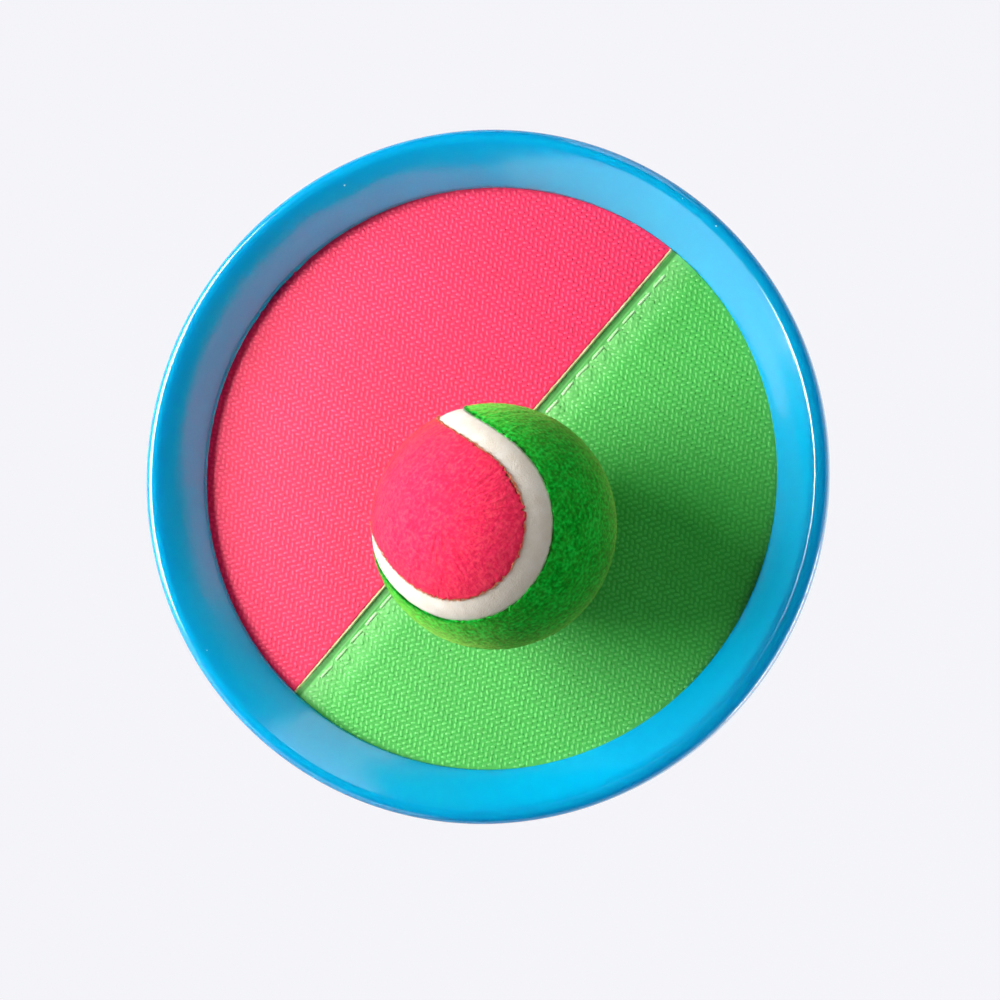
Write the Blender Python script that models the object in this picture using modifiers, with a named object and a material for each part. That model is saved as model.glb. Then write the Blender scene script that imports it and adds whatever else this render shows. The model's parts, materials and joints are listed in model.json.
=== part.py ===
"""Hook and loop catch paddle with its felt ball.

A moulded dish carries two half discs of hook fabric sewn together with a lap seam. A webbing strap for
the hand runs behind the dish, between two moulded bars, and closes with hook and loop tape. The ball is
a rubber shell with two interlocking felt panels and a band along their seam.

Frame: metres, origin at the centre of the dish floor's back face, +Z out of the catching face,
+X along the fabric seam and the strap, +Y towards the pink half.
"""

import math

import bmesh
import bpy
import numpy as np
from mathutils import Euler, Matrix, Vector

# Clearances
FIT_GAP = 0.0003            # between pieces that touch on the real paddle
PANEL_CLEARANCE = 0.0004    # fabric edge to the wall of its seat
STRAP_COVER = 0.0001        # top of the strap loop below the dish floor's front
WINDOW_CLEARANCE = 0.001    # strap to the edge of its window, all round

# Dish
FABRIC_DIAMETER = 0.1566
FLOOR_THICKNESS = 0.0024
SHELL_WALL = 0.002
SEAT_STEP = 0.0015          # upright edge round the fabric, above its hooks
WALL_RUN = 0.0104           # flared wall, seen from the front
WALL_RISE = 0.0084          # flared wall, height from the seat to the shoulder
WALL_FLARE = math.radians(7)
LIP_INNER_RADIUS = 0.0004
SKIRT_DROP = 0.0038         # straight outer edge of the lip
BACK_CORNER_RADIUS = 0.002
BACK_RING_HEIGHT = 0.001
BACK_RING_WIDTH = 0.004
BACK_RING_INSET = 0.004     # from the edge of the flat back

# Strap bars moulded across two windows in the floor
BAR_SPACING = 0.092
BAR_DIAMETER = 0.0036
POST_LENGTH = 0.006
POST_WIDTH = 0.003
WINDOW_CORNER = 0.002

# Hook fabric and its bond
FILM_THICKNESS = 0.0004
FILM_INSET = 0.0006
GROUND_THICKNESS = 0.0006   # woven ground of the fabric, without its hooks
HOOK_HEIGHT = 0.0014        # hook field above the ground
SEAM_EDGE_Y = 0.00185       # green edge that lies on the pink
STITCH_INSET = 0.003        # stitch line from the green edge
SELVAGE_WIDTH = 0.0036      # plain strip along the green edge
TONGUE_LAP = 0.0043         # pink ground that runs on under the green edge
STITCH_PITCH = 0.0063
STITCH_LENGTH = 0.004
STITCH_END_MARGIN = 0.004
SEAM_THREAD = 0.0006        # diameter

# Strap
STRAP_WIDTH = 0.025
STRAP_THICKNESS = 0.0014
HAND_LOOP_DEPTH = 0.040     # back of the bars to the middle of the arch
ARCH_SQUARENESS = 2.5       # 2 is an ellipse, more is boxier
LEG_EASE = 0.010            # length in which a strap leg closes up to the one beside it
LAP_LENGTH = 0.026          # sewn end
STUB_LENGTH = 0.003         # end of the span past the second bar, where the tail hinges
TAIL_LENGTH = 0.044
TAIL_CORNER = 0.006
PAD_THICKNESS = 0.001
PAD_EDGE = 0.0015           # webbing left bare beside a pad
PAD_START = 0.012
LOOP_PAD_LENGTH = 0.045
HOOK_PAD_LENGTH = 0.024
SEW_PITCH = 0.0034
SEW_LENGTH = 0.0024
SEW_THREAD = 0.0005         # diameter
SEW_MARGIN = 0.003          # stitches from the edges of what they hold
THREAD_PINCH = 0.5          # thread where it is drawn into the cloth, as a share of its diameter

# Ball
BALL_DIAMETER = 0.0635
BALL_CONTACT = (-0.0059, -0.0168)
BALL_TURN = Euler((math.radians(60.9), math.radians(-49.95), math.radians(26.17)), "XYZ")
FELT_THICKNESS = 0.0022
CORE_WALL = 0.0032
BAND_WIDTH = 0.0076
BAND_SINK = 0.0004          # band below the felt
SEAM_WAVE = 0.265           # size of the third harmonic in the seam curve
SEAM_RISE = 0.6575          # height of the seam's waves
LOBE_RADIUS = math.radians(46)

# Facets
DISH_STEPS = 72
WALL_STEPS = 5
LIP_STEPS = 5
CORNER_STEPS = 3
CORE_STEPS = 20
CORE_RINGS = 5
SEAM_COLUMNS = 72           # shared by the felt panels and the band, so that their edges match
FELT_RINGS = 5
BAND_RINGS = 2
BAR_SIDES = 12
ARCH_POINTS = 36
LEG_POINTS = 9
WRAP_POINTS = 7
THREAD_SIDES = 1            # steps in each quarter of a thread's round
MERGE_DISTANCE = 0.00001

# Heights and radii that follow from these
FABRIC_RADIUS = FABRIC_DIAMETER / 2
SEAT_RADIUS = FABRIC_RADIUS + PANEL_CLEARANCE
FILM_BOTTOM = FLOOR_THICKNESS + FIT_GAP
FABRIC_BOTTOM = FILM_BOTTOM + FILM_THICKNESS + FIT_GAP
FABRIC_TOP = FABRIC_BOTTOM + GROUND_THICKNESS + HOOK_HEIGHT
SEAT_TOP = FABRIC_TOP + SEAT_STEP
LAP_BOTTOM = FABRIC_BOTTOM + GROUND_THICKNESS + FIT_GAP
LAP_TOP = LAP_BOTTOM + GROUND_THICKNESS
BAR_RADIUS = BAR_DIAMETER / 2
BAR_X = BAR_SPACING / 2
BAR_Z = FLOOR_THICKNESS - STRAP_COVER - STRAP_THICKNESS - FIT_GAP - BAR_RADIUS
WRAP_RADIUS = BAR_RADIUS + FIT_GAP + STRAP_THICKNESS / 2
BALL_RADIUS = BALL_DIAMETER / 2
BALL_CENTRE = Vector((*BALL_CONTACT, FABRIC_TOP + FIT_GAP + BALL_RADIUS))

PLASTIC_BLUE = (0.0, 0.456, 0.83)
HOOK_PINK = (1.0, 0.07, 0.18)
HOOK_GREEN = (0.16, 0.68, 0.16)
THREAD_PALE = (0.55, 0.85, 0.45)
BOND_CLEAR = (0.85, 0.83, 0.74)
WEBBING_BLACK = (0.02, 0.02, 0.022)
TAPE_BLACK = (0.028, 0.028, 0.03)
THREAD_BLACK = (0.05, 0.05, 0.055)
RUBBER_GREY = (0.12, 0.12, 0.12)
FELT_RED = (0.91, 0.045, 0.11)
FELT_GREEN = (0.005, 0.26, 0.012)
BAND_CREAM = (0.94, 0.92, 0.88)


# Scene helpers

def clear_scene():
    for thing in list(bpy.data.objects):
        bpy.data.objects.remove(thing, do_unlink=True)


def new_collection(name):
    collection = bpy.data.collections.new(name)
    bpy.context.scene.collection.children.link(collection)
    return collection


def new_material(name, colour, roughness):
    material = bpy.data.materials.new(name)
    material.use_nodes = True
    shader = material.node_tree.nodes["Principled BSDF"]
    shader.inputs["Base Color"].default_value = (*colour, 1.0)
    shader.inputs["Roughness"].default_value = roughness
    shader.inputs["Metallic"].default_value = 0.0
    return material


def new_object(name, mesh, collection):
    thing = bpy.data.objects.new(name, mesh)
    collection.objects.link(thing)
    return thing


def finish_part(thing, colour, roughness, smooth_angle=35):
    thing.data.materials.clear()
    thing.data.materials.append(new_material(thing.name, colour, roughness))
    thing.data.shade_smooth()
    thing.data.set_sharp_from_angle(angle=math.radians(smooth_angle))
    return thing


def mark_cutter(thing):
    thing.hide_render = True
    thing.display_type = "WIRE"
    return thing


def add_boolean(thing, operand, operation):
    modifier = thing.modifiers.new(operand.name, "BOOLEAN")
    modifier.object = operand
    modifier.operation = operation
    modifier.solver = "EXACT"


# Shape helpers

def arc(centre, radius, start, end, steps):
    """Points of an arc in a plane, angles in radians, both ends included."""
    angles = np.linspace(start, end, steps + 1)
    return [(centre[0] + radius * math.cos(a), centre[1] + radius * math.sin(a)) for a in angles]


def turned(name, profile, steps, collection):
    """Solid of revolution about Z from (radius, z) points that start and end on the axis."""
    bm = bmesh.new()
    verts = [bm.verts.new((radius, 0, z)) for radius, z in profile]
    for first, second in zip(verts, verts[1:]):
        bm.edges.new((first, second))
    mesh = bpy.data.meshes.new(name)
    bm.to_mesh(mesh)
    bm.free()
    thing = new_object(name, mesh, collection)
    screw = thing.modifiers.new("turn", "SCREW")
    screw.axis = "Z"
    screw.steps = steps
    screw.render_steps = steps
    screw.use_merge_vertices = True
    screw.merge_threshold = MERGE_DISTANCE
    return thing


def outline_solid(name, points, depth, collection):
    """Plate of a flat outline in the XY plane, depth thick, centred on the plane."""
    curve = bpy.data.curves.new(name, "CURVE")
    curve.dimensions = "2D"
    curve.fill_mode = "BOTH"
    curve.extrude = depth / 2
    spline = curve.splines.new("POLY")
    spline.points.add(len(points) - 1)
    for place, (x, y) in zip(spline.points, points):
        place.co = (x, y, 0, 1)
    spline.use_cyclic_u = True
    source = new_object(name, curve, collection)
    evaluated = source.evaluated_get(bpy.context.evaluated_depsgraph_get())
    mesh = bpy.data.meshes.new_from_object(evaluated)
    bpy.data.objects.remove(source, do_unlink=True)
    bm = bmesh.new()
    bm.from_mesh(mesh)
    bmesh.ops.remove_doubles(bm, verts=bm.verts, dist=MERGE_DISTANCE)
    bmesh.ops.recalc_face_normals(bm, faces=bm.faces)
    bm.to_mesh(mesh)
    bm.free()
    return new_object(name, mesh, collection)


def rounded_rectangle(length, width, corner):
    points = []
    for quarter, (sx, sy) in enumerate(((1, 1), (-1, 1), (-1, -1), (1, -1))):
        centre = (sx * (length / 2 - corner), sy * (width / 2 - corner))
        start = quarter * math.pi / 2
        points += arc(centre, corner, start, start + math.pi / 2, CORNER_STEPS)
    return points


def ribbon(name, path, half_widths, thickness, collection):
    """Band that follows (x, z) points, spread along Y, with its thickness centred on the path."""
    bm = bmesh.new()
    near = [bm.verts.new((x, -half, z)) for (x, z), half in zip(path, half_widths)]
    edges = [bm.edges.new(pair) for pair in zip(near, near[1:])]
    grown = bmesh.ops.extrude_edge_only(bm, edges=edges)["geom"]
    for vert in (item for item in grown if isinstance(item, bmesh.types.BMVert)):
        vert.co.y = -vert.co.y
    mesh = bpy.data.meshes.new(name)
    bm.to_mesh(mesh)
    bm.free()
    thing = new_object(name, mesh, collection)
    solid = thing.modifiers.new("thickness", "SOLIDIFY")
    solid.thickness = thickness
    solid.offset = 0
    solid.use_even_offset = True
    return thing


def shell_patch(name, columns, rings, place, thickness, collection):
    """Shell on the ball from place(column share, ring share), thickened towards the ball's centre."""
    bm = bmesh.new()
    bmesh.ops.create_grid(bm, x_segments=columns, y_segments=rings, size=1)
    for vert in bm.verts:
        vert.co = place((vert.co.x + 1) / 2, (vert.co.y + 1) / 2)
    bmesh.ops.remove_doubles(bm, verts=bm.verts, dist=MERGE_DISTANCE)
    bmesh.ops.dissolve_degenerate(bm, edges=bm.edges, dist=MERGE_DISTANCE)
    bmesh.ops.recalc_face_normals(bm, faces=bm.faces)
    if sum(face.normal.dot(face.calc_center_median()) for face in bm.faces) < 0:
        bmesh.ops.reverse_faces(bm, faces=bm.faces)
    mesh = bpy.data.meshes.new(name)
    bm.to_mesh(mesh)
    bm.free()
    thing = new_object(name, mesh, collection)
    solid = thing.modifiers.new("thickness", "SOLIDIFY")
    solid.thickness = thickness
    solid.offset = -1
    return thing


def stitch_stations(length, pitch, dash):
    """(distance, share of the thread's diameter) along a row of stitches, drawn in between dashes."""
    count = int((length - dash) / pitch) + 1
    start = (length - dash - (count - 1) * pitch) / 2
    stations = []
    for number in range(count):
        begin = start + number * pitch
        if number:
            stations.append((begin - (pitch - dash) / 2, THREAD_PINCH))
        stations += [(begin, 1), (begin + dash, 1)]
    return stations


def thread(name, knots, diameter, cyclic, colour, collection):
    """One unbroken thread through (point, share of the diameter) knots."""
    curve = bpy.data.curves.new(name, "CURVE")
    curve.dimensions = "3D"
    curve.bevel_depth = diameter / 2
    curve.bevel_resolution = THREAD_SIDES
    curve.use_fill_caps = True
    spline = curve.splines.new("POLY")
    spline.points.add(len(knots) - 1)
    for place, (point, share) in zip(spline.points, knots):
        place.co = (*point, 1)
        place.radius = share
    spline.use_cyclic_u = cyclic
    curve.materials.append(new_material(name, colour, 0.7))
    return new_object(name, curve, collection)


# Dish

def dish_profile():
    """Half section of the dish, from the floor's front round the lip to the floor's back."""
    chord = math.hypot(WALL_RUN, WALL_RISE)
    mean_slope = math.atan2(WALL_RISE, WALL_RUN)
    foot_slope = mean_slope + WALL_FLARE / 2
    shoulder_slope = mean_slope - WALL_FLARE / 2
    flare_radius = chord / (2 * math.sin(WALL_FLARE / 2))
    lip_radius = LIP_INNER_RADIUS + SHELL_WALL
    quarter = math.pi / 2

    flare_centre = (SEAT_RADIUS + flare_radius * math.sin(foot_slope),
                    SEAT_TOP - flare_radius * math.cos(foot_slope))
    front_wall = arc(flare_centre, flare_radius, foot_slope + quarter, shoulder_slope + quarter, WALL_STEPS)
    back_wall = arc(flare_centre, flare_radius - SHELL_WALL,
                    shoulder_slope + quarter, foot_slope + quarter, WALL_STEPS - 2)
    shoulder = front_wall[-1]
    lip_centre = (shoulder[0] + lip_radius * math.sin(shoulder_slope),
                  shoulder[1] - lip_radius * math.cos(shoulder_slope))
    lip_front = arc(lip_centre, lip_radius, shoulder_slope + quarter, 0, LIP_STEPS)
    lip_back = arc(lip_centre, LIP_INNER_RADIUS, 0, shoulder_slope + quarter, 2)
    skirt_bottom = lip_centre[1] - SKIRT_DROP
    skirt = [(lip_centre[0] + lip_radius, skirt_bottom), (lip_centre[0] + LIP_INNER_RADIUS, skirt_bottom)]

    back_edge = back_wall[-1][0] - BACK_CORNER_RADIUS
    corner = arc((back_edge, BACK_CORNER_RADIUS), BACK_CORNER_RADIUS, 0, -quarter, CORNER_STEPS)
    ring_outer = back_edge - BACK_RING_INSET
    ring_inner = ring_outer - BACK_RING_WIDTH
    ring = [(ring_outer, 0), (ring_outer, -BACK_RING_HEIGHT),
            (ring_inner, -BACK_RING_HEIGHT), (ring_inner, 0)]

    front = [(0, FLOOR_THICKNESS), (SEAT_RADIUS, FLOOR_THICKNESS)]
    rim = front_wall + lip_front[1:] + skirt + lip_back + back_wall[1:]
    return front + rim + corner + ring + [(0, 0)]


def build_dish(parts, cutters):
    shell = turned("paddle_shell", dish_profile(), DISH_STEPS, parts)
    window_length = 2 * (WRAP_RADIUS + STRAP_THICKNESS / 2 + WINDOW_CLEARANCE)
    window_width = STRAP_WIDTH + 2 * WINDOW_CLEARANCE
    post_y = window_width / 2 + POST_WIDTH / 2
    post_bottom = BAR_Z - BAR_RADIUS
    post_top = FLOOR_THICKNESS / 2
    for side, letter in ((1, "a"), (-1, "b")):
        outline = rounded_rectangle(window_length, window_width, WINDOW_CORNER)
        window = outline_solid("strap_window_" + letter, outline, FLOOR_THICKNESS * 3, cutters)
        window.location = (side * BAR_X, 0, FLOOR_THICKNESS / 2)
        add_boolean(shell, mark_cutter(window), "DIFFERENCE")

        bpy.ops.mesh.primitive_cylinder_add(vertices=BAR_SIDES, radius=BAR_RADIUS, depth=2 * post_y,
                                            location=(side * BAR_X, 0, BAR_Z), rotation=(math.pi / 2, 0, 0))
        bar = take_primitive("strap_bar_" + letter, cutters)
        add_boolean(shell, mark_cutter(bar), "UNION")

        for end, number in ((1, "1"), (-1, "2")):
            bpy.ops.mesh.primitive_cube_add(size=1, location=(side * BAR_X, end * post_y,
                                                              (post_top + post_bottom) / 2))
            bpy.context.object.scale = (POST_LENGTH, POST_WIDTH, post_top - post_bottom)
            post = take_primitive("bar_post_" + letter + number, cutters)
            add_boolean(shell, mark_cutter(post), "UNION")
    return finish_part(shell, PLASTIC_BLUE, 0.28)


def take_primitive(name, collection):
    """Give the primitive that was just added its name and collection, with its scale applied."""
    thing = bpy.context.object
    thing.name = name
    for owner in list(thing.users_collection):
        owner.objects.unlink(thing)
    collection.objects.link(thing)
    thing.data.transform(Matrix.Diagonal((*thing.scale, 1)))
    thing.scale = (1, 1, 1)
    return thing


# Fabric

def fabric_half(name, section, colour, parts, cutters):
    """Part of the round fabric that lies inside a (y, z) section."""
    disc = turned(name, [(0, FABRIC_TOP), (FABRIC_RADIUS, FABRIC_TOP),
                         (FABRIC_RADIUS, FABRIC_BOTTOM), (0, FABRIC_BOTTOM)], DISH_STEPS, parts)
    bar = outline_solid(name + "_section", section, FABRIC_DIAMETER * 2, cutters)
    bar.rotation_euler = (math.pi / 2, 0, math.pi / 2)
    add_boolean(disc, mark_cutter(bar), "INTERSECT")
    return finish_part(disc, colour, 0.85)


def build_fabric(parts, cutters):
    film = turned("adhesive_disc", [(0, FILM_BOTTOM + FILM_THICKNESS),
                                    (FABRIC_RADIUS - FILM_INSET, FILM_BOTTOM + FILM_THICKNESS),
                                    (FABRIC_RADIUS - FILM_INSET, FILM_BOTTOM),
                                    (0, FILM_BOTTOM)], DISH_STEPS, parts)
    finish_part(film, BOND_CLEAR, 0.5)

    past = FABRIC_DIAMETER
    above = FABRIC_TOP + past
    below = FABRIC_BOTTOM - past
    ground_top = FABRIC_BOTTOM + GROUND_THICKNESS
    tongue_end = SEAM_EDGE_Y - TONGUE_LAP
    pink_edge = SEAM_EDGE_Y + FIT_GAP
    pink = [(tongue_end, below), (past, below), (past, above), (pink_edge, above),
            (pink_edge, ground_top), (tongue_end, ground_top)]
    fabric_half("hook_panel_pink", pink, HOOK_PINK, parts, cutters)

    field_edge = SEAM_EDGE_Y - SELVAGE_WIDTH
    lap_end = tongue_end - FIT_GAP
    green = [(-past, below), (lap_end, below), (lap_end, LAP_BOTTOM), (SEAM_EDGE_Y, LAP_BOTTOM),
             (SEAM_EDGE_Y, LAP_TOP), (field_edge, LAP_TOP), (field_edge, above), (-past, above)]
    fabric_half("hook_panel_green", green, HOOK_GREEN, parts, cutters)

    stitch_y = SEAM_EDGE_Y - STITCH_INSET
    reach = math.sqrt(FABRIC_RADIUS ** 2 - stitch_y ** 2) - STITCH_END_MARGIN
    thread_z = LAP_TOP + FIT_GAP + SEAM_THREAD / 2
    knots = [((distance - reach, stitch_y, thread_z), share)
             for distance, share in stitch_stations(2 * reach, STITCH_PITCH, STITCH_LENGTH)]
    thread("panel_seam_thread", knots, SEAM_THREAD, False, THREAD_PALE, parts)


# Strap

def hand_arch():
    """Centre line of the strap over the hand, from the bar at +X to the bar at -X, evenly spaced."""
    reach = BAR_X - WRAP_RADIUS
    angles = np.linspace(0, math.pi, 400)
    power = 2 / ARCH_SQUARENESS
    x = reach * np.sign(np.cos(angles)) * np.abs(np.cos(angles)) ** power
    z = BAR_Z - HAND_LOOP_DEPTH * np.abs(np.sin(angles)) ** power
    along = np.concatenate(([0], np.cumsum(np.hypot(np.diff(x), np.diff(z)))))
    return along, x, z


def on_arch(distance, offset, from_tail_end=False):
    """Point, direction and outward normal beside the arch, offset outwards, at a length from one end."""
    along, x, z = hand_arch()
    step = STRAP_THICKNESS / 4
    place = along[-1] - distance if from_tail_end else distance
    here = Vector((np.interp(place, along, x), np.interp(place, along, z)))
    ahead = Vector((np.interp(place + step, along, x), np.interp(place + step, along, z)))
    behind = Vector((np.interp(place - step, along, x), np.interp(place - step, along, z)))
    direction = (ahead - behind).normalized()
    normal = Vector((-direction.y, direction.x))
    return here + normal * offset, direction, normal


def eased(distance, far_offset):
    """Offset of a strap leg that starts on the far side of its bar and closes up to far_offset."""
    share = min(distance / LEG_EASE, 1)
    blend = share * share * (3 - 2 * share)
    return 2 * WRAP_RADIUS * (1 - blend) + far_offset * blend


def leg(start, end, far_offset, from_tail_end, count):
    distances = np.linspace(start, end, count)
    return [on_arch(d, eased(d, far_offset), from_tail_end)[0] for d in distances]


def tail_offset():
    return STRAP_THICKNESS + 2 * PAD_THICKNESS + 3 * FIT_GAP


def build_strap(parts):
    length = hand_arch()[0][-1]
    lap_offset = STRAP_THICKNESS + FIT_GAP
    lap = leg(LAP_LENGTH, 0, lap_offset, False, LEG_POINTS)
    wrap_a = arc((BAR_X, BAR_Z), WRAP_RADIUS, 0, math.pi, WRAP_POINTS)[1:-1]
    arch = [on_arch(d, 0)[0] for d in np.linspace(0, length, ARCH_POINTS)]
    wrap_b = arc((-BAR_X, BAR_Z), WRAP_RADIUS, 0, math.pi, WRAP_POINTS)[1:-1]
    stub = leg(0, STUB_LENGTH, tail_offset(), True, 3)
    path = [tuple(point) for point in lap + wrap_a + arch + wrap_b + stub]
    span = ribbon("strap_span", path, [STRAP_WIDTH / 2] * len(path), STRAP_THICKNESS, parts)
    finish_part(span, WEBBING_BLACK, 0.8)

    pad_width = STRAP_WIDTH - 2 * PAD_EDGE
    loop_offset = STRAP_THICKNESS / 2 + FIT_GAP + PAD_THICKNESS / 2
    build_pad("strap_loop_pad", loop_offset, LOOP_PAD_LENGTH, pad_width, parts)

    sew_box("strap_anchor_thread", LAP_LENGTH - PAD_START, lap_offset, False, parts)


def build_pad(name, offset, pad_length, pad_width, parts):
    count = max(3, int(pad_length / STRAP_WIDTH * LEG_POINTS))
    distances = np.linspace(PAD_START, PAD_START + pad_length, count)
    path = [tuple(on_arch(d, offset, True)[0]) for d in distances]
    pad = ribbon(name, path, [pad_width / 2] * count, PAD_THICKNESS, parts)
    return finish_part(pad, TAPE_BLACK, 0.95)


def sew_box(name, length, offset, from_tail_end, parts):
    """Closed box of stitches on the outer face of webbing that lies offset from the arch."""
    half = STRAP_WIDTH / 2 - SEW_MARGIN
    run = length - 2 * SEW_MARGIN
    corners = [(0, -half), (run, -half), (run, half), (0, half), (0, -half)]
    lengths = np.cumsum([0] + [math.dist(a, b) for a, b in zip(corners, corners[1:])])
    height = offset + STRAP_THICKNESS / 2 + FIT_GAP + SEW_THREAD / 2
    knots = []
    for distance, share in stitch_stations(lengths[-1], SEW_PITCH, SEW_LENGTH):
        along = np.interp(distance, lengths, [corner[0] for corner in corners])
        across = np.interp(distance, lengths, [corner[1] for corner in corners])
        point = on_arch(PAD_START + SEW_MARGIN + along, height, from_tail_end)[0]
        knots.append(((point.x, across, point.y), share))
    return thread(name, knots, SEW_THREAD, True, THREAD_BLACK, parts)


def tail_pivot():
    """Fold line of the tail, on the outer face of the webbing just past the end of the span."""
    distance = STUB_LENGTH + FIT_GAP / 2
    point = on_arch(distance, eased(distance, tail_offset()) + STRAP_THICKNESS / 2, True)[0]
    return Vector((point.x, 0, point.y))


def build_tail(parts):
    pivot = bpy.data.objects.new("strap_tail_pivot", None)
    pivot.location = tail_pivot()
    parts.objects.link(pivot)

    straight = TAIL_LENGTH - TAIL_CORNER
    distances = list(np.linspace(STUB_LENGTH + FIT_GAP, straight, 2 * LEG_POINTS))
    half_widths = [STRAP_WIDTH / 2] * len(distances)
    for turn in np.linspace(0, math.pi / 2, CORNER_STEPS + 2)[1:]:
        distances.append(straight + TAIL_CORNER * math.sin(turn))
        half_widths.append(STRAP_WIDTH / 2 - TAIL_CORNER * (1 - math.cos(turn)))
    path = [tuple(on_arch(d, eased(d, tail_offset()), True)[0]) for d in distances]
    tail = ribbon("strap_tail", path, half_widths, STRAP_THICKNESS, parts)
    finish_part(tail, WEBBING_BLACK, 0.8)

    hook_offset = tail_offset() - STRAP_THICKNESS / 2 - FIT_GAP - PAD_THICKNESS / 2
    pad = build_pad("strap_hook_pad", hook_offset, HOOK_PAD_LENGTH, STRAP_WIDTH - 2 * PAD_EDGE, parts)

    stitching = sew_box("strap_tail_thread", HOOK_PAD_LENGTH, tail_offset(), True, parts)
    for thing in (tail, pad, stitching):
        hold(thing, pivot)


def hold(thing, parent):
    """Parent a piece to an empty and leave it where it is."""
    bpy.context.view_layer.update()
    thing.parent = parent
    thing.matrix_parent_inverse = parent.matrix_world.inverted()


# Ball

def seam_point(turn):
    """Unit vector on the closed seam of the ball, turn in radians."""
    main = 1 - SEAM_WAVE
    return Vector((main * math.cos(turn) + SEAM_WAVE * math.cos(3 * turn),
                   main * math.sin(turn) - SEAM_WAVE * math.sin(3 * turn),
                   SEAM_RISE * math.sin(2 * turn))).normalized()


def beside_seam(turn, offset):
    """Unit vector beside the seam, offset in metres on the ball's surface."""
    here = seam_point(turn)
    nudge = 0.001
    heading = seam_point(turn + nudge) - seam_point(turn - nudge)
    side = heading.cross(here).normalized()
    angle = offset / BALL_RADIUS
    return here * math.cos(angle) + side * math.sin(angle)


def felt_place(pole, offset):
    """Place function of the dog-bone panel round a pole, +1 or -1 on Z, its edge offset from the seam."""
    spine = Vector((1, -pole, 0)).normalized()
    peak = seam_point(math.pi / 4)
    lobe_end = math.pi / 2 + math.atan2(peak.z, math.hypot(peak.x, peak.y)) - LOBE_RADIUS

    def place(column, ring):
        edge = beside_seam(column * 2 * math.pi, offset)
        turn = math.atan2(edge.dot(spine), edge.z * pole)
        turn = max(-lobe_end, min(lobe_end, turn))
        root = spine * math.sin(turn) + Vector((0, 0, pole)) * math.cos(turn)
        return root.slerp(edge, ring) * BALL_RADIUS
    return place


def band_place(column, ring):
    radius = BALL_RADIUS - BAND_SINK
    return beside_seam(column * 2 * math.pi, (ring - 0.5) * BAND_WIDTH) * radius


def half_core(name, end, parts):
    outer = BALL_RADIUS - FELT_THICKNESS - FIT_GAP
    inner = outer - CORE_WALL
    seam = FIT_GAP / 2
    dip = math.asin(seam / outer)
    rise = math.asin(seam / inner)
    profile = arc((0, 0), outer, math.pi / 2, dip, CORE_RINGS)
    profile += arc((0, 0), inner, rise, math.pi / 2, CORE_RINGS)
    half = turned(name, profile, CORE_STEPS, parts)
    half.rotation_euler = (0 if end > 0 else math.pi, 0, 0)
    return finish_part(half, RUBBER_GREY, 0.9)


def build_ball(parts):
    centre = bpy.data.objects.new("ball_centre", None)
    centre.location = BALL_CENTRE
    parts.objects.link(centre)

    felt_edge = BAND_WIDTH / 2 + FIT_GAP
    red = shell_patch("ball_felt_red", SEAM_COLUMNS, FELT_RINGS, felt_place(-1, felt_edge),
                      FELT_THICKNESS, parts)
    green = shell_patch("ball_felt_green", SEAM_COLUMNS, FELT_RINGS, felt_place(1, -felt_edge),
                        FELT_THICKNESS, parts)
    band = shell_patch("ball_seam_band", SEAM_COLUMNS, BAND_RINGS, band_place,
                       FELT_THICKNESS - BAND_SINK, parts)
    finish_part(red, FELT_RED, 0.95)
    finish_part(green, FELT_GREEN, 0.95)
    finish_part(band, BAND_CREAM, 0.8)
    for piece in (red, green, band):
        piece.rotation_euler = BALL_TURN
    upper = half_core("ball_core_upper", 1, parts)
    lower = half_core("ball_core_lower", -1, parts)
    for piece in (red, green, band, upper, lower):
        piece.parent = centre


def main():
    clear_scene()
    parts = new_collection("catch_paddle")
    cutters = new_collection("cutters")
    build_dish(parts, cutters)
    build_fabric(parts, cutters)
    build_strap(parts)
    build_tail(parts)
    build_ball(parts)
    print("rim diameter", round(2 * max(radius for radius, _ in dish_profile()), 5))
    print("tail pivot", [round(value, 5) for value in tail_pivot()])
    print("ball centre", [round(value, 5) for value in BALL_CENTRE])


main()
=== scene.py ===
"""Looks of the hook and loop catch paddle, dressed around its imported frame.

The dish is turned again with fine facets and moulded edges. The fabric gets its woven ground, its
herringbone of hooks, its lapped seam and its stitches. The ball gets felt panels with ragged edges and a
nap of fibres, and the strap its woven webbing, tapes and stitching. Metres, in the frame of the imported
part. Colours are the 0 to 255 numbers that a picture shows.
"""

import json
import math

import bmesh
import bpy
import numpy as np
from mathutils import Euler, Matrix, Vector


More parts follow.
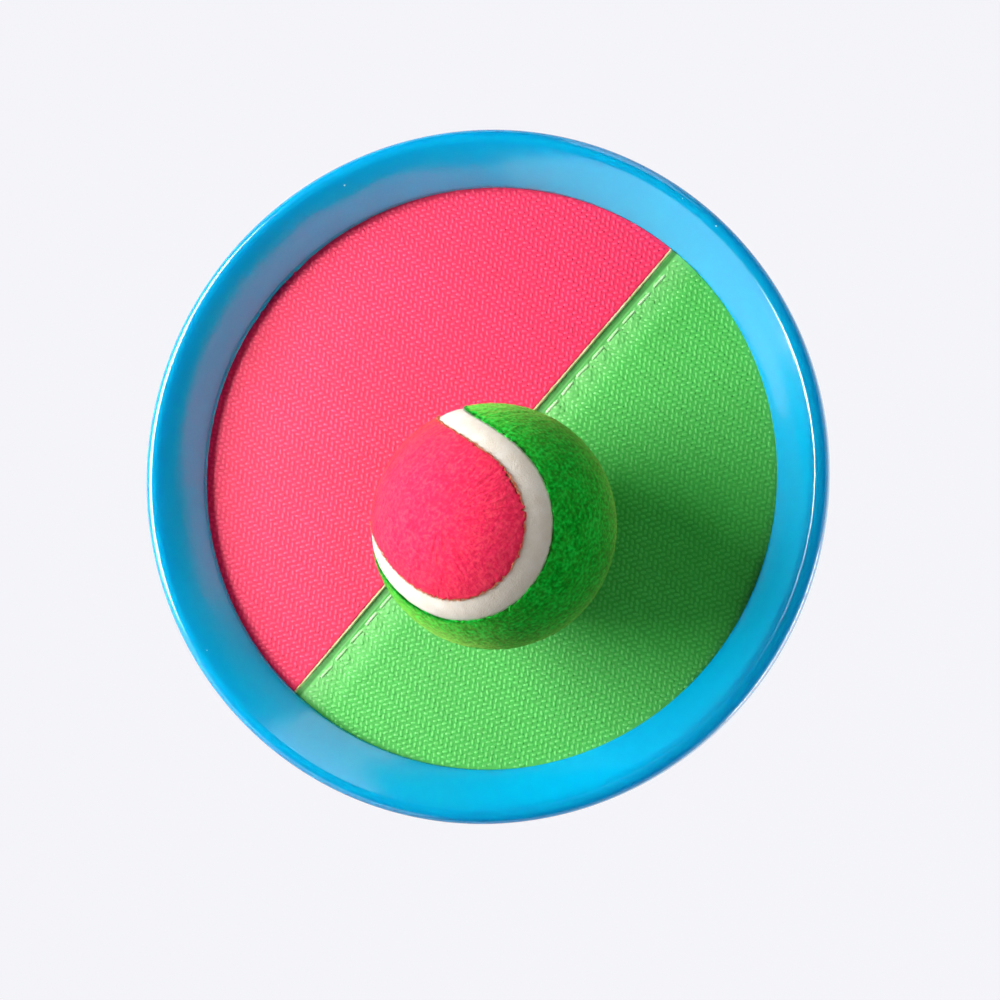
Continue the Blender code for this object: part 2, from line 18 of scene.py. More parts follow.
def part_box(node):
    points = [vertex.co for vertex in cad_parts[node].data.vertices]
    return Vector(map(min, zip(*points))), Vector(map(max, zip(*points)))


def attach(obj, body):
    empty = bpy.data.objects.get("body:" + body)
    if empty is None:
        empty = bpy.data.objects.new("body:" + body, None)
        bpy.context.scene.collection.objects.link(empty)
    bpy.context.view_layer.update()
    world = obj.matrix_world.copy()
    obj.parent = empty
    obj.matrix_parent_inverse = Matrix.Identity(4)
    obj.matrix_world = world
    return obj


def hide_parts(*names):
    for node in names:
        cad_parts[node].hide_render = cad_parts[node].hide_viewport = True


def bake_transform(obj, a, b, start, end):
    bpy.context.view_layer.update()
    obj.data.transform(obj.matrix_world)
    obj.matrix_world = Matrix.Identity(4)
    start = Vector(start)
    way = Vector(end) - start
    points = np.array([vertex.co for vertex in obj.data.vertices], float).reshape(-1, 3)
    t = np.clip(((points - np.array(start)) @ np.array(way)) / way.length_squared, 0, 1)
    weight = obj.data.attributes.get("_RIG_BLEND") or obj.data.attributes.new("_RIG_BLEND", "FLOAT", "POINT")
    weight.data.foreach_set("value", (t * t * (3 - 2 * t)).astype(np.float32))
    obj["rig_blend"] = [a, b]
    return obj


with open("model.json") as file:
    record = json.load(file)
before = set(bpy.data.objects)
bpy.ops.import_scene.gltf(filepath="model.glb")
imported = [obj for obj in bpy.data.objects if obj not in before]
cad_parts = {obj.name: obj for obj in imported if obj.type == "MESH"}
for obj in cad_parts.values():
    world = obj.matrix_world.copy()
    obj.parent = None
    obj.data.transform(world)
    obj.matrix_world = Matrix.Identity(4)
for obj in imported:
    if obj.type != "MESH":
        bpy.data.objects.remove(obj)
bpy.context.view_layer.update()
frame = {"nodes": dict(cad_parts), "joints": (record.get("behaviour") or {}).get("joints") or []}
PADDLE, TAIL, BALL = "paddle", "tail", "ball"
SEED = 7
WELD_DISTANCE = 0.000002

# Fabric places, read from the frame
PINK_LOW, PINK_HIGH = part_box("hook_panel_pink")
GREEN_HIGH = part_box("hook_panel_green")[1]
STITCH_LOW, STITCH_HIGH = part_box("panel_seam_thread")
FABRIC_RADIUS = PINK_HIGH.y
FABRIC_BOTTOM = PINK_LOW.z
FABRIC_TOP = PINK_HIGH.z
TONGUE_END_Y = PINK_LOW.y
SEAM_EDGE_Y = GREEN_HIGH.y
STITCH_Y = (STITCH_LOW.y + STITCH_HIGH.y) / 2

# Dish
PANEL_CLEARANCE = 0.0004
FLOOR_THICKNESS = 0.0024
SHELL_WALL = 0.002
SEAT_STEP = 0.0015
WALL_RUN = 0.0104
WALL_RISE = 0.0084
WALL_FLARE = math.radians(7)
LIP_INNER_RADIUS = 0.0004
SKIRT_DROP = 0.0038
BACK_CORNER_RADIUS = 0.002
BACK_RING_HEIGHT = 0.001
BACK_RING_WIDTH = 0.004
BACK_RING_INSET = 0.004
BAR_SPACING = 0.092
BAR_DIAMETER = 0.0036
POST_LENGTH = 0.006
POST_WIDTH = 0.003
WINDOW_CORNER = 0.002
WINDOW_CLEARANCE = 0.001
EDGE_ROUND = 0.00025  # moulded edges
DISH_STEPS = 288
HUB_RADIUS = 0.020  # flat middle of the floor, one face on each side

# Hook fabric
LAP_BOTTOM_GAP = 0.0003  # green lap above the pink tongue
TONGUE_THICKNESS = 0.0006
LAP_STEP_START = 0.0013  # green underside starts to rise, before the end of the tongue
LAP_STEP_RUN = 0.001
LEAST_CLOTH = 0.0001  # thinnest cloth at its round edge
SELVAGE_WIDTH = 0.0028
SELVAGE_DROP = 0.0003  # plain selvage below the hooks
SELVAGE_RUN = 0.0007  # slope between the two
STRIPE_CORE = 0.0005  # dark stripe along the selvage, partly painted shade, each side of its middle
STRIPE_HALF = 0.0010  # the same, to the end of its fade
LAP_SINK = 0.00045  # green field drawn down along its stitches
LAP_RUN = 0.009
PUCKER_HEIGHT = 0.0002
PUCKER_RUN = 0.0016
EDGE_RIDGE = 0.0002  # turned edge of the green lap, above its selvage
EDGE_RIDGE_RUN = 0.00045
SEAM_SHEEN_RUN = 0.007  # painted sheen on the slope of the green fabric beside its stitches
VALLEY_DEPTH = 0.00006  # selvage between its edge and its stitches
VALLEY_INSET = 0.0011
VALLEY_RUN = 0.0008
PINK_START = 0.00036  # first pink pile from the green edge
PINK_HOOK_START = 0.0005  # first pink hooks from there
GREEN_HOOK_REACH = 0.0002  # last green hooks on the selvage
CREASE_HALF = 0.00002  # upright step from the tongue to the pink pile
PINK_ROWS = 110
GREEN_ROWS = 150
CLOTH_COLUMNS = 260
CLOTH_CROWDING = 1.6  # rows of the mesh lie closer near the seam
CLOTH_SHORT = 0.0004  # share of the cloth left out at the top of its round edge
CROWN = 0.0010  # middle of the fabric above its edge
COLUMN_PITCH = 0.0014  # herringbone columns, along the seam
ROW_PITCH = 0.00164  # hooks along a column
HOOK_LEAN = math.radians(41)
HOOK_STAND = 0.00006  # hooks above the dense pile they grow from
HOOK_LENGTH = 0.0018
HOOK_WIDTH = 0.00105  # the two filaments of a hook, side by side
HOOK_EDGE = 0.00035  # first hooks from the cut edge
HOOK_JITTER = 0.00005
HOOK_ANGLE_JITTER = 0.08
HOOK_LENGTH_JITTER = 0.06
HOOK_HEIGHT_JITTER = 0.08
SHORTEST_HOOK = 0.35  # share of its length that a hook keeps at the round edge
LEAST_REACH = 0.00001  # keeps a quotient finite
CUT_CLEARANCE = 0.00006  # cut edge of the cloth to the wall of its seat
PINK_GLOSS = 0.56  # specular level of the hooks
GREEN_GLOSS = 1.0
PILE_DULL = 0.65  # share of it that the shaded pile keeps
EDGE_BEAD = 0.00045  # radius of the sealed edge of the green lap
BEAD_RINGS = 420
BEAD_SIDES = 8
BEAD_JITTER = 0.12
BEAD_SINK = 0.65  # in radii
STITCH_PITCH = 0.0063
STITCH_LENGTH = 0.0054
THREAD_RADIUS = 0.0004
STITCH_DIP = 40.8  # how steeply the ends of a stitch dip
PLY_RELIEF = 0.16
STITCH_SEAT = 0.0002  # stitches take the height of the cloth this far into the green
STITCH_SKEW = 0.05
STITCH_FLATNESS = 0.5

# Strap
FIT_GAP = 0.0003
STRAP_WIDTH = 0.025
STRAP_THICKNESS = 0.0014
HAND_LOOP_DEPTH = 0.040
ARCH_SQUARENESS = 2.5
ARCH_STEPS = 400
LEG_STEPS = 80
LEG_EASE = 0.010
LAP_LENGTH = 0.026
TAIL_LENGTH = 0.044
TAIL_CORNER = 0.006
PAD_THICKNESS = 0.001
PAD_EDGE = 0.0015
PAD_START = 0.012
LOOP_PAD_LENGTH = 0.045
HOOK_PAD_LENGTH = 0.024
SEW_PITCH = 0.0034
SEW_LENGTH = 0.0028
SEW_RADIUS = 0.00025
SEW_MARGIN = 0.003
SEW_STAND = 0.4  # middle of the thread above the webbing, in radii
WEB_RIB = 0.0018  # warp ribs across the webbing
WEB_PICK = 0.0022  # weft picks along it
WEB_RELIEF = 0.00016
WEB_STEP = 0.0005  # spacing of the webbing's mesh
WEB_EDGE = 0.0011  # width of its round edges
TAPE_STEP = 0.0008  # spacing of the mesh of a tape
TAPE_COLUMNS = 30
TAPE_EDGE = 0.0004  # tape left bare round its loops
LOOP_FIBRES = 5200
LOOP_RADIUS = 0.00005
LOOP_SIZE = (0.0011, 0.0006)
TAPE_HOOK_PITCH = 0.0011
TAPE_HOOK_START = 0.0008  # first hooks from the edges of their tape
TAPE_HOOK_END = 0.0006
TAPE_HOOK_RADIUS = 0.0001
TAPE_HOOK_SIZE = (0.0011, 0.0007)
TAPE_SINK = 0.0001  # roots of loops and hooks in their tape

# Ball
BALL_RADIUS = 0.03175
BALL_TURN = Euler((math.radians(60.9), math.radians(-49.95), math.radians(26.17)), "XYZ")
FELT_THICKNESS = 0.0022
BAND_WIDTH = 0.0076
BAND_SINK = 0.0004
BAND_CROWN = 0.00022
BAND_FOLD = 0.00001
BAND_FOLD_WAVE = 0.0006
BAND_LUMPS = 0.00003
SEAM_WAVE = 0.265
SEAM_RISE = 0.6575
SEAM_STRETCH = 1.25  # length of the seam in girths of the ball, near enough for its noise
SEAM_STEPS = 1600
LOBE_RADIUS = math.radians(46)
FELT_EDGE_GAP = 0.00015  # felt from the edge of the band
FELT_EDGE_ROUND = 0.0003
FELT_LUMPS = 0.00008
FELT_RAGS = ((0.0007, 0.00026), (0.002, 0.00014))  # wavelength and size of the ragged edge
FELT_WAVES = 60
FELT_FINENESS = 60  # of the waves
FELT_COLUMNS = 1200
FELT_RINGS = 14
BAND_COLUMNS = 960
BAND_RINGS = 10
FIBRES = 54000  # nap, before those over the band are left out
FIBRE_LENGTH = 0.0007
FIBRE_WIDTH = 0.00008
FIBRE_ROOT = 0.0002  # roots below the surface of the felt
NAP_START = 0.0003  # first nap from the edge of the band
FRINGE_FIBRES = 8000
FRINGE_LENGTH = 0.0011
FRINGE_START = 0.0005
FRINGE_SPREAD = 0.00045

# Values that follow from these and from the frame
SEAT_RADIUS = FABRIC_RADIUS + PANEL_CLEARANCE
SEAT_TOP = FABRIC_TOP + SEAT_STEP
CLOTH_RADIUS = SEAT_RADIUS - CUT_CLEARANCE
PILE_TOP = FABRIC_TOP - HOOK_STAND
SELVAGE_TOP = FABRIC_TOP - SELVAGE_DROP
TONGUE_TOP = FABRIC_BOTTOM + TONGUE_THICKNESS
LAP_BOTTOM = TONGUE_TOP + LAP_BOTTOM_GAP
FIELD_EDGE_Y = SEAM_EDGE_Y - SELVAGE_WIDTH
BAR_X = BAR_SPACING / 2
BAR_RADIUS = BAR_DIAMETER / 2
BAR_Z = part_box("paddle_shell")[0].z + BAR_RADIUS
WRAP_RADIUS = BAR_RADIUS + FIT_GAP + STRAP_THICKNESS / 2
LAP_OFFSET = STRAP_THICKNESS + FIT_GAP
TAIL_OFFSET = STRAP_THICKNESS + 2 * PAD_THICKNESS + 3 * FIT_GAP
CORE_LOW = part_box("ball_core_lower")[0]
CORE_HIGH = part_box("ball_core_upper")[1]
BALL_CENTRE = np.array((CORE_LOW + CORE_HIGH) / 2)
SEAM_LENGTH = 2 * math.pi * BALL_RADIUS * SEAM_STRETCH


# Mesh helpers

def add_object(name, data):
    made = bpy.data.objects.new(name, data)
    bpy.context.scene.collection.objects.link(made)
    return made


def mesh_object(name, points, faces):
    """Object from an array of points and one of faces, turned so that a closed shape faces out."""
    points = np.asarray(points, np.float32).reshape(-1, 3)
    faces = np.asarray(faces)
    corner = points[faces] - points.mean(axis=0)
    volume = sum(np.einsum("ij,ij->i", corner[:, 0], np.cross(corner[:, k], corner[:, k + 1])).sum()
                 for k in range(1, faces.shape[1] - 1))
    if volume < 0:
        faces = faces[:, ::-1]
    mesh = bpy.data.meshes.new(name)
    mesh.from_pydata(points.tolist(), [], faces.tolist(), shade_flat=False)
    return add_object(name, mesh)


def vectors(*parts):
    """Points or directions from their coordinates, which may be single numbers or arrays that fit."""
    return np.stack(np.broadcast_arrays(*parts), axis=-1)


def circle(count):
    """Angles of equal steps once round."""
    return np.arange(count) * 2 * math.pi / count


def lattice(first, second):
    """All pairs of two sets of numbers."""
    return (part.ravel() for part in np.meshgrid(first, second, indexing="ij"))


def weld(piece):
    """Join the points of a mesh that coincide and drop the faces that this empties."""
    bm = bmesh.new()
    bm.from_mesh(piece.data)
    bmesh.ops.remove_doubles(bm, verts=bm.verts, dist=WELD_DISTANCE)
    bmesh.ops.dissolve_degenerate(bm, edges=bm.edges, dist=WELD_DISTANCE)
    bm.to_mesh(piece.data)
    bm.free()
    return piece


def grid_faces(rows, columns, closed_rows=False, closed_columns=False):
    """Four-cornered faces of a lattice of points kept row by row."""
    row = np.arange(rows if closed_rows else rows - 1)
    column = np.arange(columns if closed_columns else columns - 1)
    row, column = lattice(row, column)
    next_row, next_column = (row + 1) % rows, (column + 1) % columns
    return vectors(row * columns + column, row * columns + next_column,
                   next_row * columns + next_column, next_row * columns + column)


def slab(name, top, bottom, closed_rows=False, first_wall=True):
    """Sheet between two lattices of points, (rows, columns, 3), closed unless it has no first wall."""
    rows, columns = top.shape[:2]
    points = np.concatenate((top, bottom[:, ::-1]), axis=1)
    faces = [grid_faces(rows, 2 * columns, closed_rows, first_wall)]
    if not closed_rows:
        column = np.arange(columns - 1)
        far = 2 * columns - 1 - column
        first = vectors(column, far, far - 1, column + 1)
        faces += [first, first[:, ::-1] + (rows - 1) * 2 * columns]
    return mesh_object(name, points, np.concatenate(faces))


def scatter(template, faces, places, first, second, third):
    """Points and faces of a small template copied to many places, with its three axes given at each."""
    points = (places[:, None] + template[None, :, 0, None] * first[:, None]
              + template[None, :, 1, None] * second[:, None] + template[None, :, 2, None] * third[:, None])
    copies, size = points.shape[:2]
    faces = faces[None] + (np.arange(copies) * size)[:, None, None]
    return points.reshape(-1, 3), faces.reshape(-1, faces.shape[2])


def tube_template(line, radii, sides):
    """Closed tube round a line of (first, third) axis points, drawn to a point at its far end."""
    line = np.asarray(line, float)
    ahead = np.gradient(line, axis=0)
    ahead /= np.linalg.norm(ahead, axis=1)[:, None]
    rings = len(line) - 1
    radii = np.asarray(radii)[:, None]
    out = radii * np.cos(circle(sides))
    points = vectors(line[:rings, :1] - ahead[:rings, 1:] * out, radii * np.sin(circle(sides)),
                     line[:rings, 1:] + ahead[:rings, :1] * out)
    points = np.concatenate((points.reshape(-1, 3), [(line[-1, 0], 0, line[-1, 1])]))
    quads = grid_faces(rings, sides, False, True)
    side = np.arange(sides)
    last = (rings - 1) * sides
    tip = vectors(last + side, last + (side + 1) % sides, rings * sides)
    base = np.array([(0, side + 1, side) for side in range(1, sides - 1)])
    return points, np.concatenate((quads[:, :3], quads[:, [0, 2, 3]], tip[:, ::-1], base))


def stitch_template(twists, rings=15, sides=8):
    """One stitch of two-ply thread, unit long, its ends dipping into the cloth."""
    along = np.linspace(-0.5, 0.5, rings)
    share = np.abs(2 * along)
    lift = -STITCH_DIP * np.clip(share - 0.72, 0, 1) ** 2
    thin = np.sqrt(np.clip(1.02 - share ** 6, 0.02, 1))
    angles = circle(sides)
    ply = 1 + PLY_RELIEF * np.cos(2 * angles[None] - along[:, None] * twists * 2 * math.pi)
    radius = thin[:, None] * ply
    points = vectors(along[:, None], radius * np.cos(angles), lift[:, None] + radius * np.sin(angles))
    faces = grid_faces(rings, sides, False, True)
    cap = np.array([(step, step + 1, sides - 2 - step, sides - 1 - step) for step in range(sides // 2 - 1)])
    return points.reshape(-1, 3), np.concatenate((faces, cap[:, ::-1], cap + (rings - 1) * sides))


def smooth_step(share):
    share = np.clip(share, 0, 1)
    return share * share * (3 - 2 * share)


def ripple(rng, steps, wavelength):
    """Smooth seeded noise of unit size round the seam of the ball, one value for each step."""
    count = max(4, int(SEAM_LENGTH / wavelength))
    knots = rng.standard_normal(count)
    where = np.arange(steps) * (SEAM_LENGTH / steps) / SEAM_LENGTH * count
    low = np.floor(where).astype(int) % count
    share = smooth_step(where - np.floor(where))
    return knots[low] * (1 - share) + knots[(low + 1) % count] * share


def dress(piece, material, body, slot, *nodes):
    """Give a piece its material, the body it moves with and the nodes it stands for; its record slot is not
    used.
    """
    piece.data.materials.clear()
    piece.data.materials.append(material)
    if "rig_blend" not in piece:
        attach(piece, body)
    if nodes:
        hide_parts(*nodes)
    return piece


# Material helpers

def srgb(red, green, blue):
    """Linear colour from the numbers of a picture."""
    shares = [value / 255 for value in (red, green, blue)]
    return tuple(s / 12.92 if s <= 0.04045 else ((s + 0.055) / 1.055) ** 2.4 for s in shares)


def colour_input(value):
    """What a colour socket takes: another socket, or a picture's colour made linear, with full cover."""
    return value if isinstance(value, bpy.types.NodeSocket) else (*srgb(*value), 1.0)


class Nodes:
    """A node tree under construction."""

    def __init__(self, tree):
        self.tree = tree

    def node(self, kind, inputs=None, **settings):
        made = self.tree.nodes.new(kind)
        for key, value in settings.items():
            setattr(made, key, value)
        for key, value in (inputs or {}).items():
            if isinstance(value, bpy.types.NodeSocket):
                self.tree.links.new(value, made.inputs[key])
            else:
                made.inputs[key].default_value = value
        return made

    def math(self, operation, first, second):
        return self.node("ShaderNodeMath", {0: first, 1: second}, operation=operation).outputs[0]

    def show_to(self, rays, share, plain, seen, output):
        """Lay the seen shader over the plain one, by a share, for some kinds of ray."""
        path = self.node("ShaderNodeLightPath")
        hit = path.outputs[rays[0]]
        for ray in rays[1:]:
            hit = self.math("MAXIMUM", hit, path.outputs[ray])
        mix = self.node("ShaderNodeMixShader", {0: self.math("MULTIPLY", hit, share), 1: plain.outputs[0],
                                                2: seen.outputs[0]})
        self.tree.links.new(mix.outputs[0], self.tree.nodes[output].inputs[0])


class Surface(Nodes):
    """A Principled material under construction, with patterns in frame coordinates."""

    def __init__(self, name, **constants):
        self.material = bpy.data.materials.new(name)
        self.material.use_nodes = True
        super().__init__(self.material.node_tree)
        self.shader = self.tree.nodes["Principled BSDF"]
        for socket, value in constants.items():
            if isinstance(value, tuple):
                value = (*value, 1.0)
            self.shader.inputs[socket.replace("_", " ")].default_value = value
        self.place = self.node("ShaderNodeTexCoord").outputs["Object"]

    def link(self, source, socket):
        self.tree.links.new(source, self.shader.inputs[socket])

    def noise(self, size, detail=2.0, stretch=(1, 1, 1)):
        """Noise from 0 to 1 with features about size metres across."""
        place = self.node("ShaderNodeVectorMath", {0: self.place, 1: stretch}, operation="MULTIPLY")
        inputs = {"Vector": place.outputs[0], "Scale": 1 / size, "Detail": detail}
        return self.node("ShaderNodeTexNoise", inputs).outputs["Fac"]

    def specks(self, size, share):
        """1 on a few round specks among cells of size metres, 0 elsewhere."""
        cells = self.node("ShaderNodeTexVoronoi", {"Vector": self.place, "Scale": 1 / size})
        spot = self.math("LESS_THAN", cells.outputs["Distance"], share)
        pick = self.node("ShaderNodeSeparateColor", {0: cells.outputs["Color"]})
        return self.math("MULTIPLY", spot, self.math("GREATER_THAN", pick.outputs[0], 0.8))

    def blend(self, first, second, share):
        """Sum of two values, the first with its share and the second with the rest."""
        first = self.math("MULTIPLY", first, share)
        return self.math("ADD", first, self.math("MULTIPLY", second, 1 - share))

    def spread(self, value, low, high, start=0.0, end=1.0):
        """A value from start to end mapped onto low to high, and held there beyond."""
        inputs = {"Value": value, "From Min": start, "From Max": end, "To Min": low, "To Max": high}
        return self.node("ShaderNodeMapRange", inputs).outputs["Result"]

    def pinkward(self):
        """How far a point lies from the centre towards the pink half."""
        return self.node("ShaderNodeSeparateXYZ", {0: self.place}).outputs["Y"]

    def ramp(self, value, *stops):
        made = self.node("ShaderNodeValToRGB", {"Fac": value})
        elements = made.color_ramp.elements
        while len(elements) < len(stops):
            elements.new(0.5)
        for element, (position, colour) in zip(elements, stops):
            element.position = position
            element.color = colour_input(colour)
        return made.outputs["Color"]

    def mix(self, share, first, second):
        inputs = {0: share, 6: colour_input(first), 7: colour_input(second)}
        return self.node("ShaderNodeMix", inputs, data_type="RGBA").outputs[2]

    def done(self, colour, relief=None, depth=0.0):
        """The material, with its colour and, where it has one, a relief of some depth in metres."""
        self.link(colour, "Base Color")
        if relief is not None:
            bump = self.node("ShaderNodeBump", {"Height": relief, "Distance": depth})
            self.link(bump.outputs["Normal"], "Normal")
        return self.material


def plastic_material():
    surface = Surface("shell_plastic", IOR=1.5, Specular_IOR_Level=0.75, Subsurface_Weight=1.0,
                      Subsurface_Scale=0.018)
    surface.shader.inputs["Subsurface Radius"].default_value = (0.08, 0.95, 1.0)
    tint = surface.ramp(surface.noise(0.045), (0.3, (0, 139, 202)), (0.7, (0, 145, 208)))
    colour = surface.mix(surface.specks(0.007, 0.035), tint, (190, 226, 244))
    surface.link(surface.spread(surface.noise(0.004, 4), 0.10, 0.17), "Roughness")
    grain = surface.math("MULTIPLY", surface.noise(0.0011, 3), 0.012)
    return surface.done(colour, surface.math("ADD", surface.noise(0.03, 1), grain), 0.0004)


def hook_surface(name, gloss):
    return Surface(name, Roughness=0.64, IOR=1.6, Specular_IOR_Level=gloss,
                   Specular_Tint=(1.0, 0.97, 0.84))


def sheen_towards_seam(surface, colour, pale):
    """Colour painted paler towards the seam: a painted sheen where the green cloth rises towards the light."""
    share = surface.spread(surface.pinkward(), 0.0, 1.0, STITCH_Y - SEAM_SHEEN_RUN, STITCH_Y)
    return surface.mix(share, colour, pale)


def hook_material(name, deep, mid, pale, gloss, seam_sheen_colour=None):
    surface = hook_surface(name, gloss)
    share = surface.blend(surface.noise(0.016, 3), surface.noise(0.0009, 2), 0.45)
    colour = surface.ramp(share, (0.3, deep), (0.5, mid), (0.72, pale))
    if seam_sheen_colour:
        colour = sheen_towards_seam(surface, colour, seam_sheen_colour)
    return surface.done(colour)


def pile_material(name, deep, pale, gloss, seam_sheen_colour=None, stripe_deep=None, stripe_pale=None):
    """Dense pile under the hooks, and the stripe of plain weave where the cloth has a selvage, its dark green
    partly painted shade of the sunk selvage; towards the seam a painted sheen.
    """
    surface = hook_surface(name, gloss)
    warp = surface.noise(0.0005, 1, (1, 0.22, 1))
    weft = surface.noise(0.0005, 1, (0.22, 1, 1))
    weave = surface.blend(warp, weft, 0.5)
    colour = surface.ramp(weave, (0.35, deep), (0.65, pale))
    if seam_sheen_colour:
        # Stripe colours: partly the selvage's own darker green, partly painted shade.
        stripe = surface.ramp(weave, (0.35, stripe_deep), (0.65, stripe_pale))
        middle = SEAM_EDGE_Y - VALLEY_INSET
        away = surface.math("ABSOLUTE", surface.math("SUBTRACT", surface.pinkward(), middle), 0)
        share = surface.spread(away, 1.0, 0.0, STRIPE_CORE, STRIPE_HALF)
        colour = surface.mix(share, sheen_towards_seam(surface, colour, seam_sheen_colour), stripe)
    return surface.done(colour, weave, 0.00006)


def felt_material(name, deep, mid, pale, glow, fleck, sheen):
    """Felt with flecks; the sheen is the light caught by its outermost fibres."""
    surface = Surface(name, Roughness=0.95, Specular_IOR_Level=0.1, Sheen_Weight=sheen, Sheen_Roughness=0.4,
                      Sheen_Tint=srgb(*glow))
    share = surface.blend(surface.noise(0.0055, 3), surface.noise(0.0010, 2), 0.2)
    colour = surface.ramp(share, (0.38, deep), (0.5, mid), (0.64, pale))
    flecks = surface.spread(surface.noise(0.0036, 3), -0.4, 0.5)
    return surface.done(surface.mix(flecks, colour, fleck), surface.noise(0.0006, 3), 0.0002)


def band_material():
    surface = Surface("seam_band_cloth", Roughness=0.6, Specular_IOR_Level=0.3, Sheen_Weight=0.2)
    colour = surface.ramp(surface.noise(0.004, 4), (0.3, (238, 226, 208)), (0.7, (250, 242, 230)))
    return surface.done(colour, surface.noise(0.0004, 2), 0.00015)


def cloth_material(name, deep, pale, size=0.0007):
    surface = Surface(name, Roughness=0.75, Specular_IOR_Level=0.3, Sheen_Weight=0.15)
    share = surface.blend(surface.noise(0.012, 2), surface.noise(size, 2), 0.4)
    colour = surface.ramp(share, (0.35, deep), (0.65, pale))
    return surface.done(colour, surface.noise(size / 2, 2), 0.0002)


def plain_material(name, deep, pale, roughness):
    surface = Surface(name, Roughness=roughness)
    colour = surface.ramp(surface.noise(0.003, 3), (0.35, deep), (0.65, pale))
    return surface.done(colour, surface.noise(0.0008, 2), 0.0001)


# Dish

def arc(centre, radius, start, end, steps):
    angles = np.linspace(start, end, steps + 1)
    return [(centre[0] + radius * math.cos(a), centre[1] + radius * math.sin(a)) for a in angles]


def dish_profile():
    """Half section of the dish from the edge of the hub's front, round the lip, to the edge of its back."""
    chord = math.hypot(WALL_RUN, WALL_RISE)
    mean_slope = math.atan2(WALL_RISE, WALL_RUN)
    foot_slope = mean_slope + WALL_FLARE / 2
    shoulder_slope = mean_slope - WALL_FLARE / 2
    flare_radius = chord / (2 * math.sin(WALL_FLARE / 2))
    lip_radius = LIP_INNER_RADIUS + SHELL_WALL
    quarter = math.pi / 2

    flare_centre = (SEAT_RADIUS + flare_radius * math.sin(foot_slope),
                    SEAT_TOP - flare_radius * math.cos(foot_slope))
    front_wall = arc(flare_centre, flare_radius, foot_slope + quarter, shoulder_slope + quarter, 28)
    back_radius = flare_radius - SHELL_WALL
    back_wall = arc(flare_centre, back_radius, shoulder_slope + quarter, foot_slope + quarter, 14)
    shoulder = front_wall[-1]
    lip_centre = (shoulder[0] + lip_radius * math.sin(shoulder_slope),
                  shoulder[1] - lip_radius * math.cos(shoulder_slope))
    lip_front = arc(lip_centre, lip_radius, shoulder_slope + quarter, 0, 18)
    lip_back = arc(lip_centre, LIP_INNER_RADIUS, 0, shoulder_slope + quarter, 6)
    skirt_bottom = lip_centre[1] - SKIRT_DROP
    skirt = [(lip_centre[0] + lip_radius, skirt_bottom), (lip_centre[0] + LIP_INNER_RADIUS, skirt_bottom)]
    back_edge = back_wall[-1][0] - BACK_CORNER_RADIUS
    corner = arc((back_edge, BACK_CORNER_RADIUS), BACK_CORNER_RADIUS, 0, -quarter, 8)
    ring_outer = back_edge - BACK_RING_INSET
    ring_inner = ring_outer - BACK_RING_WIDTH
    ring = [(ring_outer, 0), (ring_outer, -BACK_RING_HEIGHT),
            (ring_inner, -BACK_RING_HEIGHT), (ring_inner, 0)]
    front = [(HUB_RADIUS, FLOOR_THICKNESS), (SEAT_RADIUS, FLOOR_THICKNESS)]
    back = lip_back + back_wall[1:] + corner + ring + [(HUB_RADIUS, 0)]
    return front + front_wall + lip_front[1:] + skirt + back


def prism(name, outline, low, high):
    """Upright solid of a flat outline."""
    x, y = np.array(outline).T
    points = vectors(x, y, np.array((low, high))[:, None])
    return close_holes(mesh_object(name, points, grid_faces(2, len(x), False, True)))


def close_holes(piece):
    bm = bmesh.new()
    bm.from_mesh(piece.data)
    bmesh.ops.holes_fill(bm, edges=[edge for edge in bm.edges if edge.is_boundary])
    bmesh.ops.recalc_face_normals(bm, faces=bm.faces)
    bm.to_mesh(piece.data)
    bm.free()
    return piece


def rounded_rectangle(centre, length, width, corner, steps=6):
    points = []
    for quarter, (sx, sy) in enumerate(((1, 1), (-1, 1), (-1, -1), (1, -1))):
        middle = (centre[0] + sx * (length / 2 - corner), centre[1] + sy * (width / 2 - corner))
        start = quarter * math.pi / 2
        points += arc(middle, corner, start, start + math.pi / 2, steps)
    return points


def combine(piece, other, operation):
    """Cut a solid from a piece or join one to it."""
    modifier = piece.modifiers.new(other.name, "BOOLEAN")
    modifier.object = other
    modifier.operation = operation
    modifier.solver = "EXACT"
    bpy.context.view_layer.objects.active = piece
    bpy.ops.object.modifier_apply(modifier=modifier.name)
    bpy.data.objects.remove(other, do_unlink=True)


def build_dish():
    radius, height = np.array(dish_profile()).T
    turn = circle(DISH_STEPS)[:, None]
    points = vectors(radius * np.cos(turn), radius * np.sin(turn), height)
    shell = close_holes(mesh_object("dish", points, grid_faces(DISH_STEPS, len(radius), True, False)))

    window_length = 2 * (WRAP_RADIUS + STRAP_THICKNESS / 2 + WINDOW_CLEARANCE)
    window_width = STRAP_WIDTH + 2 * WINDOW_CLEARANCE
    post_y = window_width / 2 + POST_WIDTH / 2
    for side in (1, -1):
        outline = rounded_rectangle((side * BAR_X, 0), window_length, window_width, WINDOW_CORNER)
        combine(shell, prism("window", outline, -FLOOR_THICKNESS, 2 * FLOOR_THICKNESS), "DIFFERENCE")
        round_bar = arc((side * BAR_X, BAR_Z), BAR_RADIUS, 0, 2 * math.pi, 32)[:-1]
        bar = prism("bar", round_bar, -post_y, post_y)
        bar.data.transform(Euler((math.pi / 2, 0, 0)).to_matrix().to_4x4())
        combine(shell, bar, "UNION")
        for end in (1, -1):
            middle = (side * BAR_X, end * post_y)
            outline = rounded_rectangle(middle, POST_LENGTH, POST_WIDTH, POST_WIDTH / 4)
            combine(shell, prism("post", outline, BAR_Z - BAR_RADIUS, FLOOR_THICKNESS / 2), "UNION")
    soften_edges(shell)
    return dress(shell, plastic_material(), PADDLE, "shell_blue", "paddle_shell")


def soften_edges(piece):
    bevel = piece.modifiers.new("moulded_edges", "BEVEL")
    bevel.width = EDGE_ROUND
    bevel.segments = 2
    bevel.limit_method = "ANGLE"
    bevel.angle_limit = math.radians(40)
    piece.data.shade_smooth()
    piece.data.set_sharp_from_angle(angle=math.radians(50))


# Hook fabric

